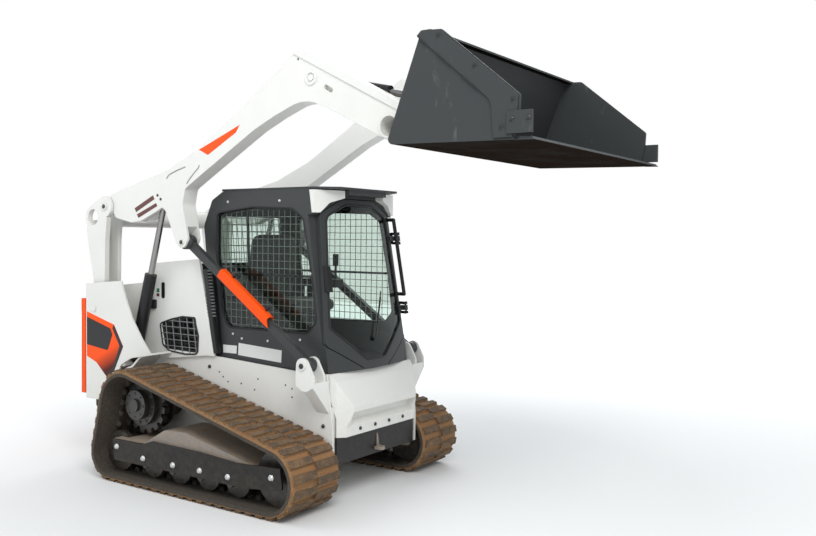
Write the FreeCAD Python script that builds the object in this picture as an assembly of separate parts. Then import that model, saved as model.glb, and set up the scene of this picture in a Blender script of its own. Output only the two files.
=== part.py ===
# Compact track loader with raised vertical-lift arms and a low-profile bucket.
# Millimetres. X forward from the rear of the ground contact, Y to the machine's left, Z up from the ground.
# Every table of a side outline has the columns (x, z, corner radius), of a front outline (y, z, corner radius).
# Paired pieces are drawn on the machine's right side, where Y is negative, and mirrored.
import FreeCAD
import Part
import math
import os

os.makedirs("parts", exist_ok=True)

# Driving widths, and the gaps that set the other widths from them
TRACK_OUTER = 940.0
TRACK_WIDTH = 450.0
FRAME_GAP = 10.0
PANEL_STEP = 20.0
ARM_GAP = 15.0
ARM_THICK = 120.0
LINK_PROUD = 20.0
LINK_GAP = 7.0
TOWER_GAP = 21.0
TOWER_PLATE = 14.0
CAB_GAP = 32.0
TILT_INSET = 70.0
BUCKET_HALF = 940.0
TRACK_INNER = TRACK_OUTER - TRACK_WIDTH
TRACK_MID = TRACK_OUTER - TRACK_WIDTH / 2
FRAME_HALF = TRACK_INNER - FRAME_GAP
PANEL_HALF = FRAME_HALF + PANEL_STEP
ARM_INNER = PANEL_HALF + ARM_GAP
ARM_OUTER = ARM_INNER + ARM_THICK
LINK_OUTER = ARM_OUTER + LINK_PROUD
LINK_INNER = PANEL_HALF + LINK_GAP
TOWER_OUTER = LINK_OUTER + TOWER_GAP + TOWER_PLATE
CAB_HALF = FRAME_HALF - CAB_GAP
CYLINDER_MID = (ARM_INNER + ARM_OUTER) / 2
TILT_MID = ARM_INNER - TILT_INSET

# Tracks: the wheels' centres and the belt's outer face radius round each, then the lugs on it
SPROCKET = (178.0, 538.0)
SPROCKET_BELT_R = 242.0
FRONT_IDLER = (1542.0, 234.0)
FRONT_BELT_R = 210.0
REAR_IDLER = (16.0, 194.0)
REAR_BELT_R = 170.0
BELT_THICK = 28.0
LUG_COUNT = 52
LUG_HEIGHT = 24.0
LUG_FOOT = 58.0
LUG_TIP = 44.0
LUG_GROOVE = 10.0
LUG_EDGE = 14.0
LUG_ROOT = 4.0
GUIDE_ROOM = 36.0

# Wheels inside the track, and the frame that carries them
TOOTH_COUNT = 16
TOOTH_HEIGHT = 30.0
SPROCKET_HALF = 22.0
HUB_R = 150.0
HUB_CAP_R = 105.0
HUB_NOSE_R = 46.0
MOTOR_PLATE_R = 190.0
WHEEL_INNER = 66.0
WHEEL_OUTER = 104.0
AXLE_R = 26.0
ROLLER_COUNT = 4
ROLLER_FIRST_X = 372.0
ROLLER_PITCH = 272.0
ROLLER_R = 105.0
ROLLER_HUB_R = 58.0
ROLLER_Z = 160.0
BEAM_INSET = 60.0
GUARD_INSET = 33.0
GUARD_THICK = 14.0
CROSS_X = (520.0, 1180.0)
CROSS_WIDTH = 110.0
CROSS_LOW = 285.0
CROSS_HIGH = 375.0

# Pivots (x, z) of the lift linkage and the bucket
LINK_FOOT = (-464.0, 1187.0)
LINK_HEAD = (-382.0, 1951.0)
LINK_TUBE = (-520.0, 1872.0)
ARM_HEEL = (449.0, 1691.0)
CONTROL_FOOT = (1565.0, 917.0)
LIFT_FOOT = (-139.0, 788.0)
LIFT_EYE = (208.0, 2008.0)
TILT_FOOT = (1627.0, 2726.0)
TILT_EYE = (2425.0, 2551.0)
BUCKET_PIVOT = (2356.0, 2366.0)
ARM_TUBE = (2226.0, 2388.0)

# Pins, tubes and cylinders
PIN_R = 20.0
CAP_R = 30.0
CAP_THICK = 8.0
PIN_END = 3.0
LIFT_BARREL_R = 44.0
LIFT_ROD_R = 22.0
LIFT_BARREL_LENGTH = 690.0
LIFT_ROD_INSIDE = 180.0
LIFT_ROD_EYE_R = 36.0
TILT_BARREL_R = 41.0
TILT_ROD_R = 22.0
TILT_BARREL_LENGTH = 480.0
TILT_ROD_INSIDE = 200.0
TILT_ROD_EYE_R = 30.0
EYE_WIDTH = 60.0
EYE_R = 38.0
BOSS_R = 46.0
CROSS_TUBE_R = 72.0
CROSS_TUBE_WALL = 12.0

# Plates of the arms and links, and the clearances between pieces
SIDE_PLATE = 16.0
LINK_PLATE = 40.0
LINK_FOOT_R = 48.0
LINK_HEAD_R = 78.0
LINK_TUBE_BOSS_R = 86.0
ARM_LUG_R = 62.0
CONTROL_WIDTH = 74.0
HEEL_R = 52.0
LINK_TIP_R = 46.0
LINK_SWEEP = (-36.0, 39.5)
RAIL_DEPTH = 32.0
RAIL_PROUD = 8.0
EAR_PLATE = 18.0
STOP_START = 440.0
STOP_END = 940.0
STOP_WALL = 8.0
CLEAR = 6.0
SEAT = 0.3
RUN = 0.05

# Tail, body and front
TAIL_X = -615.0
TAILGATE_THICK = 48.0
GATE_SKIN = 20.0
GATE_RIM = 16.0
TOWER_REAR_X = -557.0
TAILGATE_LOW = 529.0
TAILGATE_TOP = 1252.0
TAIL_LOW = 405.0
BUMPER_TOP = 505.0
BELLY_Z = 230.0
BELLY_FRONT_X = 1560.0
FRONT_X = 1690.0
NOSE_LOW_Z = 262.0
DECK_Z = 887.0
STEP_LIP_X = 1771.0
STEP_TOP_X = 1650.0
STEP_FLANGE_X = 1735.0
STEP_LOW_Z = 441.0
STEP_MARGIN = 20.0
STEP_LIP_INSET = 122.0
GUARD_MARGIN = 40.0
TOW_HOLE = (1724.0, 300.0)
TOW_HOLE_R = 12.0
TOW_PLATE = 20.0
TOW_HALF = 30.0

# Cab: the door's line leans forward towards the floor, and its plan is an arc falling back by a sag at the sides
CAB_FLOOR_Z = 850.0
ROOF_Z = 2052.0
DOOR_TOP_X = 1510.0
DOOR_TOP_Z = 2060.0
DOOR_LEAN = 0.151
DOOR_SAG = 62.8
DOOR_PLAN_R = (CAB_HALF ** 2 + DOOR_SAG ** 2) / (2 * DOOR_SAG)
DOOR_THICK = 30.0
DOOR_GAP = 6.0
DOOR_LAP = 22.0
DOOR_SIDE_LOW = 1026.0
DOOR_SIDE_TOP = 1890.0
FRONT_FRAME = 34.0
CAB_WALL = 34.0
GLASS = 6.0
GLASS_BACK = 14.0
REAR_LEAN = 6.484
SCREEN_BACK = 22.0
SCREEN_THICK = 10.0
SCREEN_BAR = 16.0
ROOF_CAP = 14.0
ROOF_FRONT_X = 1618.0
VISOR_DROP = 34.0
LAMP_TIP_X = ROOF_FRONT_X - 48.0

# Door hardware
HINGE_R = 16.0
HINGE_PIN_R = 7.0
HINGE_Z = (DOOR_SIDE_LOW + 201.0, DOOR_SIDE_TOP - 159.0)
HINGE_MID = (HINGE_Z[0] + HINGE_Z[1]) / 2
HINGE_HALF = 18.0
HINGE_BACK = 30.0
HINGE_NECK = 14.0
HINGE_REACH = 42.0
HINGE_Y = CAB_HALF + 14.0
HANDLE_Z = (DOOR_SIDE_LOW + 351.0, DOOR_SIDE_LOW + 520.0)
HANDLE_HALF = 16.0
HANDLE_DEEP = 34.0
GRAB_R = 13.0
GRAB_Z = (DOOR_SIDE_LOW + 304.0, DOOR_SIDE_TOP - 25.0)
GRAB_OUT = 62.0
WIPER_Z = 1045.0
WIPER_TIP = (115.0, 1320.0)
WIPER_BAR = 8.0
WIPER_OUT = 8.0
WIPER_FOOT_R = 14.0
GLASS_SET = 6.0

# Seat and controls
SEAT_BASE_Z = 1184.0
CUSHION_TOP = 1300.0
BACKREST_TOP = 1770.0
ARMREST_GAP = 49.0
ARMREST_WIDTH = 90.0
ARMREST_LOW = 1360.0
ARMREST_TOP = 1420.0

# Tailgate hinge and vent
GATE_HINGE_Z = (680.0, 1110.0)
GATE_HINGE_OUT = 14.0
GATE_HINGE_IN = 24.0
GATE_KNUCKLE_R = 11.0
GATE_PIN_R = 6.0
GATE_VENT_MARGIN = 260.0
GATE_VENT_LOW = 700.0
GATE_VENT_TOP = 1180.0
GATE_LOUVRES = 9
LAMP_MARGIN = 50.0
LAMP_WIDTH = 80.0
LAMP_LOW = 1120.0
LAMP_TOP = 1200.0

# Bucket section and coupler
BUCKET_HEEL = (2410.0, 2243.0)
BUCKET_BACK_LENGTH = 634.0
BUCKET_BACK_LEAN = 20.7
BUCKET_LENGTH = 900.0
BUCKET_PLATE = 12.0
BUCKET_END_PLATE = 16.0
CHEEK_PLATE = 10.0
CORNER_PROUD = 20.0
CORNER_LENGTH = 140.0
CORNER_HEIGHT = 114.0
EDGE_LENGTH = 150.0
COUPLER_PLATE = 20.0
COUPLER_LOW = 20.0
COUPLER_HIGH = 590.0
PIVOT_EAR_R = 44.0
TILT_EAR_R = 26.0
ROLL_BACK = 72.0

# The model's origin is under the middle of its length
BUCKET_LIP_X = BUCKET_HEEL[0] + BUCKET_LENGTH
MIDDLE_X = (TAIL_X + BUCKET_LIP_X) / 2

V = FreeCAD.Vector


def outline(rows):
    """Closed wire in the XZ plane from (x, z, corner radius): lines joined by tangent arcs."""
    points = [V(x, 0, z) for x, z, _ in rows]
    ends = []
    for i, (_, _, radius) in enumerate(rows):
        here = points[i]
        back = (points[i - 1] - here).normalize()
        ahead = (points[(i + 1) % len(rows)] - here).normalize()
        half = back.getAngle(ahead) / 2
        if radius <= 0 or abs(math.pi / 2 - half) < 1e-4:
            ends.append((here, None, here))
            continue
        reach = radius / math.tan(half)
        middle = (back + ahead).normalize()
        crown = here + middle * (radius / math.sin(half) - radius)
        ends.append((here + back * reach, crown, here + ahead * reach))
    edges = []
    for i, (start, crown, end) in enumerate(ends):
        if crown:
            edges.append(Part.Arc(start, crown, end).toShape())
        following = ends[(i + 1) % len(ends)][0]
        if (following - end).Length > 1e-3:
            edges.append(Part.LineSegment(end, following).toShape())
    return Part.Wire(edges)


def prism(rows, y0, y1):
    """The outline's plate between two Y planes."""
    face = Part.Face(outline(rows))
    face.translate(V(0, y0, 0))
    return face.extrude(V(0, y1 - y0, 0))


def front_view(rows, x0, x1):
    """Prism along X from rows of (y, z, corner radius)."""
    solid = prism(rows, 0, x1 - x0)
    solid.rotate(V(0, 0, 0), V(0, 0, 1), 90)
    solid.translate(V(x1, 0, 0))
    return solid


def plan_view(points, z0, z1):
    """Prism along Z from (x, y) points."""
    corners = [V(x, y, z0) for x, y in points]
    return Part.Face(Part.makePolygon(corners + corners[:1])).extrude(V(0, 0, z1 - z0))


def box(x0, x1, y0, y1, z0, z1):
    return Part.makeBox(x1 - x0, y1 - y0, z1 - z0, V(x0, y0, z0))


def pin(centre, radius, y0, y1):
    """Cylinder along Y at (x, z)."""
    return Part.makeCylinder(radius, y1 - y0, V(centre[0], y0, centre[1]), V(0, 1, 0))


def post(x, y, radius, z0, z1):
    """Cylinder along Z."""
    return Part.makeCylinder(radius, z1 - z0, V(x, y, z0))


def ring(centre, outer, inner, y0, y1):
    return pin(centre, outer, y0, y1).cut(pin(centre, inner, y0 - 1, y1 + 1))


def stick(start, end, radius):
    """Round bar between two points in space."""
    return Part.makeCylinder(radius, (end - start).Length, start, end - start)


def strut(start, end, width, depth):
    """Straight bar of a rectangular section between two points in space."""
    body = Part.makeBox((end - start).Length, width, depth)
    body.translate(V(0, -width / 2, -depth / 2))
    body.Placement = FreeCAD.Placement(start, FreeCAD.Rotation(V(1, 0, 0), end - start)).multiply(body.Placement)
    return body


def grown(rows, step):
    """Outline moved outwards by a step, as rows of the same form."""
    count = len(rows)
    area = sum(rows[i - 1][0] * rows[i][1] - rows[i][0] * rows[i - 1][1] for i in range(count))
    turn = 1 if area > 0 else -1
    moved = []
    for i in range(count):
        (ax, az, _), (bx, bz, radius), (cx, cz, _) = rows[i - 1], rows[i], rows[(i + 1) % count]
        ux, uz = bx - ax, bz - az
        vx, vz = cx - bx, cz - bz
        lu, lv = math.hypot(ux, uz), math.hypot(vx, vz)
        nx, nz = turn * (uz / lu + vz / lv), -turn * (ux / lu + vx / lv)
        scale = 2 * step / (nx * nx + nz * nz)
        moved.append((bx + nx * scale, bz + nz * scale, max(radius + step, 0)))
    return moved


def both_sides(rows):
    """Front outline of a symmetric piece, from its half with Y positive, given upwards."""
    return [(y, z, r) for y, z, r in rows] + [(-y, z, r) for y, z, r in reversed(rows)]


def square(rows):
    """The same outline with sharp corners."""
    return [(a, b, 0) for a, b, _ in rows]


def belt_angles(circles):
    """Direction, from each circle's centre, of the point where the belt leaves it for the next."""
    angles = []
    for (ax, az, ar), (bx, bz, br) in zip(circles, circles[1:] + circles[:1]):
        angles.append(math.atan2(bz - az, bx - ax) - math.acos((ar - br) / math.hypot(bx - ax, bz - az)))
    return angles


def belt_runs(circles):
    """The belt's runs in order: arcs as (x, z, radius, first angle, last angle) and the straight after each."""
    angles = belt_angles(circles)
    runs = []
    for i, (x, z, radius) in enumerate(circles):
        arrive, leave = angles[i - 1], angles[i]
        while leave < arrive:
            leave += 2 * math.pi
        nx, nz, nr = circles[(i + 1) % len(circles)]
        start = (x + radius * math.cos(leave), z + radius * math.sin(leave))
        end = (nx + nr * math.cos(leave), nz + nr * math.sin(leave))
        runs.append(((x, z, radius, arrive, leave), (start, end, leave)))
    return runs


def belt(circles, y0, y1):
    """Plate round circles (x, z, radius) given anticlockwise: outer tangents and arcs."""
    edges = []
    for (x, z, radius, arrive, leave), (start, end, _) in belt_runs(circles):
        stops = [V(x + radius * math.cos(a), 0, z + radius * math.sin(a))
                 for a in (arrive, (arrive + leave) / 2, leave)]
        edges.append(Part.Arc(*stops).toShape())
        edges.append(Part.LineSegment(stops[2], V(end[0], 0, end[1])).toShape())
    face = Part.Face(Part.Wire(edges))
    face.translate(V(0, y0, 0))
    return face.extrude(V(0, y1 - y0, 0))


def bar(a, ra, b, rb, y0, y1):
    """Plate round two circles."""
    return belt([(a[0], a[1], ra), (b[0], b[1], rb)], y0, y1)


def belt_length(circles):
    return sum(arc[2] * (arc[4] - arc[3]) + math.dist(line[0], line[1]) for arc, line in belt_runs(circles))


def belt_point(circles, along, out):
    """Point (x, z) at a length along the belt, moved out from its face."""
    along = along % belt_length(circles)
    for (x, z, radius, arrive, leave), (start, end, normal) in belt_runs(circles):
        bend = radius * (leave - arrive)
        if along <= bend:
            angle = arrive + along / radius
            return (x + (radius + out) * math.cos(angle), z + (radius + out) * math.sin(angle))
        along -= bend
        straight = math.dist(start, end)
        if along <= straight:
            share = along / straight
            return (start[0] + (end[0] - start[0]) * share + out * math.cos(normal),
                    start[1] + (end[1] - start[1]) * share + out * math.sin(normal))
        along -= straight
    return start


def toothed(circles, count, shift, foot, tip, root, crown, y0, y1):
    """Filled plate whose edge runs along the belt with trapezoid teeth, from a root to a crown offset."""
    pitch = belt_length(circles) / count
    corners = []
    for i in range(count):
        middle = (i + shift) * pitch
        for along, out in ((-foot / 2, root), (-tip / 2, crown), (tip / 2, crown), (foot / 2, root)):
            corners.append(belt_point(circles, middle + along, out))
    return prism([(x, z, 0) for x, z in corners], y0, y1)


def between(a, b, share):
    """Point a share of the way from a to b, in the XZ plane."""
    return (a[0] + (b[0] - a[0]) * share, a[1] + (b[1] - a[1]) * share)


def toward(a, b, length):
    return between(a, b, length / math.dist(a, b))


def turned(point, centre, degrees):
    """Point turned about a centre in the side view, counter-clockwise with X right and Z up."""
    angle = math.radians(degrees)
    dx, dz = point[0] - centre[0], point[1] - centre[1]
    return (centre[0] + dx * math.cos(angle) - dz * math.sin(angle),
            centre[1] + dx * math.sin(angle) + dz * math.cos(angle))


def rod_between(a, b, radius, y, start, end):
    """Round bar along the line from a to b, between two lengths from a, at one Y."""
    p = toward(a, b, start)
    q = toward(a, b, end)
    return stick(V(p[0], y, p[1]), V(q[0], y, q[1]), radius)


def fuse(shapes):
    body = shapes[0].fuse(shapes[1:]) if len(shapes) > 1 else shapes[0]
    return body.removeSplitter()


def mirrored(shape):
    """The same piece on the other side of the middle plane."""
    return shape.mirror(V(0, 0, 0), V(0, 1, 0))


def write(node, shapes):
    """Write one node, moved so that the origin is under the middle of the machine."""
    body = shapes[0] if len(shapes) == 1 else Part.makeCompound(shapes)
    body = body.copy()
    body.translate(V(-MIDDLE_X, 0, 0))
    body.exportStep("parts/" + node + ".step")
    print(node, "solids", len(body.Solids), "valid", body.isValid())


def write_pair(node, shape):
    write(node, [shape, mirrored(shape)])


def write_sides(node, right):
    write(node + "_right", [right])
    write(node + "_left", [mirrored(right)])


def track_circles(step=0.0):
    return [(REAR_IDLER[0], REAR_IDLER[1], REAR_BELT_R + step),
            (FRONT_IDLER[0], FRONT_IDLER[1], FRONT_BELT_R + step),
            (SPROCKET[0], SPROCKET[1], SPROCKET_BELT_R + step)]


def make_tracks():
    """Rubber belt with two staggered columns of lugs outside, its inside smooth under the rims."""
    face = track_circles()
    inside = track_circles(-BELT_THICK)
    blocks = [belt(face, -TRACK_OUTER, -TRACK_INNER)]
    columns = ((0.0, -TRACK_OUTER + LUG_EDGE, -TRACK_MID - LUG_GROOVE / 2),
               (0.5, -TRACK_MID + LUG_GROOVE / 2, -TRACK_INNER - LUG_EDGE))
    for shift, y0, y1 in columns:
        blocks.append(toothed(face, LUG_COUNT, shift, LUG_FOOT, LUG_TIP, -LUG_ROOT, LUG_HEIGHT, y0, y1))
    write_sides("track", fuse(blocks).cut(belt(inside, -TRACK_OUTER - 1, -TRACK_INNER + 1)))


BEAM_INNER = TRACK_INNER + BEAM_INSET
BEAM_OUTER = TRACK_OUTER - BEAM_INSET
GUARD_OUTER = TRACK_OUTER - GUARD_INSET
GUARD_BACK = GUARD_OUTER - GUARD_THICK
GUARD_ROWS = [(44, 301, 0), (368, 304, 0), (458, 334, 30), (939, 327, 60), (1251, 307, 60), (1630, 328, 0),
              (1650, 195, 20), (1330, 160, 30), (60, 152, 20)]
INNER_SKIRT_ROWS = [(-24, 240, 20), (120, 301, 0), (368, 304, 0), (939, 327, 60), (1251, 307, 60),
                    (1600, 300, 20), (1600, 195, 20), (1330, 178, 30), (60, 172, 20), (-24, 160, 20)]
COVER_ROWS = [(330, 272, 0), (340, 300, 10), (560, 420, 60), (760, 430, 60), (1250, 330, 40), (1380, 290, 0),
              (1380, 272, 0)]
SHELF_ROWS = [(44, 288, 0), (330, 288, 0), (330, 302, 0), (44, 301, 0)]


def make_undercarriage():
    """Track frame with its sloped cover and rear shelf, the black guard in front of it, rollers and idlers."""
    pieces = [prism(COVER_ROWS, -BEAM_OUTER, -BEAM_INNER),
              prism(INNER_SKIRT_ROWS, -BEAM_INNER, -BEAM_INNER + GUARD_THICK),
              prism(SHELF_ROWS, -GUARD_BACK, -BEAM_INNER)]
    for x in CROSS_X:
        pieces.append(box(x, x + CROSS_WIDTH, -BEAM_INNER, -FRAME_HALF, CROSS_LOW, CROSS_HIGH))
    frame = fuse(pieces)
    for centre, radius in ((FRONT_IDLER, FRONT_BELT_R), (REAR_IDLER, REAR_BELT_R)):
        frame = frame.cut(pin(centre, radius - BELT_THICK + CLEAR, -TRACK_MID - WHEEL_OUTER - CLEAR,
                              -TRACK_MID + WHEEL_OUTER + CLEAR))
    for i in range(ROLLER_COUNT):
        frame = frame.cut(pin(roller_spot(i), ROLLER_R + CLEAR, -BEAM_OUTER + SEAT, -BEAM_INNER - SEAT))
    write_pair("track_frames", frame)
    write_pair("track_guards", prism(GUARD_ROWS, -GUARD_OUTER, -GUARD_BACK))
    rollers = []
    for i in range(ROLLER_COUNT):
        rollers.append(wheel(roller_spot(i), ROLLER_R, ROLLER_HUB_R, -GUARD_BACK + SEAT))
    write("rollers", rollers + [mirrored(r) for r in rollers])
    wheels = (("front_idlers", FRONT_IDLER, FRONT_BELT_R, -GUARD_BACK + SEAT),
              ("rear_idlers", REAR_IDLER, REAR_BELT_R, -TRACK_MID - WHEEL_OUTER))
    for node, centre, belt_r, axle_end in wheels:
        rim = belt_r - BELT_THICK - SEAT
        write_pair(node, wheel(centre, rim, rim - GUIDE_ROOM - CLEAR, axle_end))


def roller_spot(i):
    return (ROLLER_FIRST_X + i * ROLLER_PITCH, ROLLER_Z)


def wheel(centre, rim, hub, axle_end):
    """Two rims on a hub with a gap between them, and the axle from an outer end to the inner skirt."""
    pieces = [pin(centre, hub, -TRACK_MID - WHEEL_OUTER, -TRACK_MID + WHEEL_OUTER)]
    for y0 in (-TRACK_MID - WHEEL_OUTER, -TRACK_MID + WHEEL_INNER):
        pieces.append(pin(centre, rim, y0, y0 + WHEEL_OUTER - WHEEL_INNER))
    pieces.append(pin(centre, AXLE_R, axle_end, -BEAM_INNER - SEAT))
    return fuse(pieces)


def make_drives():
    """Toothed sprocket on the belt's middle, its hub outside and the motor inside."""
    tip = SPROCKET_BELT_R - BELT_THICK - SEAT
    rows = []
    for i in range(TOOTH_COUNT):
        for share, radius in ((0.0, tip - TOOTH_HEIGHT), (0.28, tip - TOOTH_HEIGHT), (0.42, tip), (0.86, tip)):
            angle = 2 * math.pi * (i + share) / TOOTH_COUNT
            rows.append((SPROCKET[0] + radius * math.cos(angle), SPROCKET[1] + radius * math.sin(angle), 0))
    outer = -TRACK_MID - SPROCKET_HALF
    inner = -TRACK_MID + SPROCKET_HALF
    write_pair("sprockets", prism(rows, outer, inner))
    write_pair("drive_hubs", fuse([pin(SPROCKET, HUB_R, outer - 38, outer),
                                   pin(SPROCKET, HUB_CAP_R, outer - 84, outer - 38),
                                   pin(SPROCKET, HUB_NOSE_R, outer - 100, outer - 84)]))
    write_pair("drive_motors", fuse([pin(SPROCKET, HUB_R, inner, inner + 60),
                                     pin(SPROCKET, MOTOR_PLATE_R, inner + 60, inner + 76),
                                     pin(SPROCKET, HUB_R - 30, inner + 76, -FRAME_HALF)]))


TAIL_SLOPE = (-260.0, BELLY_Z + 60.0)
BELLY_REAR_X = 80.0
CAB_WALL_X = 600.0
NOSE_X = FRONT_X - 14.0


def make_frame():
    """Main frame: two side plates, belly, sloped tail and nose, and the wall in front of the engine."""
    side = [(TOWER_REAR_X, TAIL_LOW, 0), TAIL_SLOPE + (40,), (BELLY_REAR_X, BELLY_Z, 60),
            (BELLY_FRONT_X, BELLY_Z, 40), (FRONT_X, NOSE_LOW_Z, 0), (FRONT_X, 480, 0), (1637, CAB_FLOOR_Z, 0),
            (1367, CAB_FLOOR_Z, 60), (609, DECK_Z, 0), (TOWER_REAR_X, DECK_Z, 0)]
    plate = prism(side, -FRAME_HALF, -FRAME_HALF + SIDE_PLATE)
    inside = FRAME_HALF - SIDE_PLATE
    t = SIDE_PLATE
    floor = box(BELLY_REAR_X, BELLY_FRONT_X, -inside, inside, BELLY_Z, BELLY_Z + t)
    rear = prism([(TOWER_REAR_X, TAIL_LOW, 0), TAIL_SLOPE + (0,), (BELLY_REAR_X, BELLY_Z, 0),
                  (BELLY_REAR_X, BELLY_Z + t, 0), (TAIL_SLOPE[0] + 2, TAIL_SLOPE[1] + t, 0),
                  (TOWER_REAR_X, TAIL_LOW + t, 0)], -inside, inside)
    front = box(NOSE_X - t, NOSE_X, -inside, inside, NOSE_LOW_Z, 640)
    nose = prism([(BELLY_FRONT_X, BELLY_Z, 0), (NOSE_X, NOSE_LOW_Z, 0), (NOSE_X - t, NOSE_LOW_Z + t, 0),
                  (BELLY_FRONT_X - 5, BELLY_Z + t, 0)], -inside, inside)
    wall = box(CAB_WALL_X, CAB_WALL_X + t, -inside, inside, BELLY_Z + t, CAB_FLOOR_Z)
    write("main_frame", [fuse([plate, mirrored(plate), floor, rear, front, nose, wall])])


STEP_HALF = FRAME_HALF - STEP_MARGIN
LIP_HALF = FRAME_HALF - STEP_LIP_INSET
FRONT_PLATE_ROWS = [(STEP_TOP_X, CAB_FLOOR_Z - 1, 0), (STEP_TOP_X + 40, 800, 20), (STEP_LIP_X, 640, 10),
                    (STEP_LIP_X, 602, 4)]
RECESS_ROWS = [(FRONT_X + 14, 586, 4), (FRONT_X + 14, 545, 4), (STEP_FLANGE_X, 508, 4), (STEP_FLANGE_X, 441, 0)]
BACK_ROWS = [(FRONT_X, STEP_LOW_Z, 0), (FRONT_X, 560, 0), (STEP_TOP_X - 22, 760, 0),
             (STEP_TOP_X - 38, CAB_FLOOR_Z - 1, 0)]
POST_ROWS = [(FRONT_X, 640, 0), (STEP_LIP_X, 640, 0), (STEP_LIP_X, 602, 0), (STEP_FLANGE_X, 505, 0),
             (STEP_FLANGE_X, STEP_LOW_Z, 0), (FRONT_X, STEP_LOW_Z, 0)]


def make_front():
    """Front plate with its step lip over a recess, the guard under it and the tie-down lug."""
    inside = FRAME_HALF - SIDE_PLATE - SEAT
    plate = prism(FRONT_PLATE_ROWS + RECESS_ROWS + BACK_ROWS, -STEP_HALF, STEP_HALF)
    corner = prism(POST_ROWS, -STEP_HALF, -LIP_HALF)
    plan = plan_view([(1560, -STEP_HALF - 40), (FRONT_X, -STEP_HALF + 18), (STEP_LIP_X, -LIP_HALF),
                      (STEP_LIP_X, LIP_HALF), (FRONT_X, STEP_HALF - 18), (1560, STEP_HALF + 40)],
                     STEP_LOW_Z - 1, CAB_FLOOR_Z)
    behind = box(1500, NOSE_X + SEAT, -inside - 1, inside + 1, NOSE_LOW_Z, 640 + SEAT)
    write("front_step", [fuse([plate, corner, mirrored(corner)]).common(plan).cut(behind)])
    guard_front = FRONT_X + 4
    half = FRAME_HALF - GUARD_MARGIN
    write("front_guard", [box(NOSE_X + SEAT, guard_front, -half, half, NOSE_LOW_Z, STEP_LOW_Z - 1)])
    root = guard_front + SEAT
    low = TOW_HOLE[1] - TOW_PLATE / 2
    high = TOW_HOLE[1] + TOW_PLATE / 2
    tongue = fuse([box(root, TOW_HOLE[0], -TOW_HALF, TOW_HALF, low, high),
                   post(TOW_HOLE[0], 0, TOW_HALF, low, high)])
    gusset = prism([(root, high, 0), (TOW_HOLE[0] - TOW_HOLE_R - 4, high, 0), (root, high + 90, 0)], -8, 8)
    write("tow_eye", [fuse([tongue, gusset]).cut(post(TOW_HOLE[0], 0, TOW_HOLE_R, low - 1, high + 1))])


VENT = [(70, 1090, 30), (116, 904, 20), (474, 896, 20), (442, 1154, 20), (346, 1155, 60)]
VENT_PITCH = 52.0
VENT_COLUMNS = 8
VENT_ROWS = 4
VENT_FIRST_X = 120.0
VENT_FIRST_Z = 948.0
VENT_BAR = 10.0
VENT_LEAN = 0.133
TOWER_SKIN_ROWS = [(TOWER_REAR_X, 1368, 0), (-142, 1401, 0), (-134, 1364, 0), (-84, 1254, 0), (-26, 1136, 120),
                   (87, 985, 60), (176, 891, 0), (187, 877, 0), (-32, 839, 120), (-195, 756, 60),
                   (-150, 690, 40), (-150, 495, 30), (TOWER_REAR_X, 495, 0)]
PANEL_ROWS = [(TOWER_REAR_X, 1340, 0), (-142, 1380, 0), (10, 1533, 60), (475, 1571, 20), (560, 1200, 0),
              (630, DECK_Z + SEAT, 0), (560, DECK_Z + SEAT, 0), (187, 840, 0), (TOWER_REAR_X, 840, 0)]
PANEL_SLOT = [(84, 1368, 10), (106, 1368, 10), (106, 1298, 10), (84, 1298, 10)]
FENDER_ROWS = [(187, 877, 0), (60, 850, 60), (-32, 770, 60), (-120, 735, 40), (-150, 640, 60), (-150, 495, 0),
               (TOWER_REAR_X, 495, 0), (TOWER_REAR_X, 509, 0), (-164, 509, 0), (-164, 640, 60),
               (-132, 749, 40), (-40, 784, 60), (52, 864, 60), (180, 891, 0)]
STRIP_ROWS = [(520, 1500, 0), (556, 1500, 0), (655, 908, 0), (618, 908, 0)]
STRIP_LIMIT = [(0, 840, 0), (560, 840, 0), (630, DECK_Z, 0), (562, 1200, 0), (478, 1571, 0), (0, 1571, 0)]
GATE_HINGE = (TAIL_X + GATE_HINGE_IN, TOWER_OUTER + GATE_HINGE_OUT)


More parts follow.
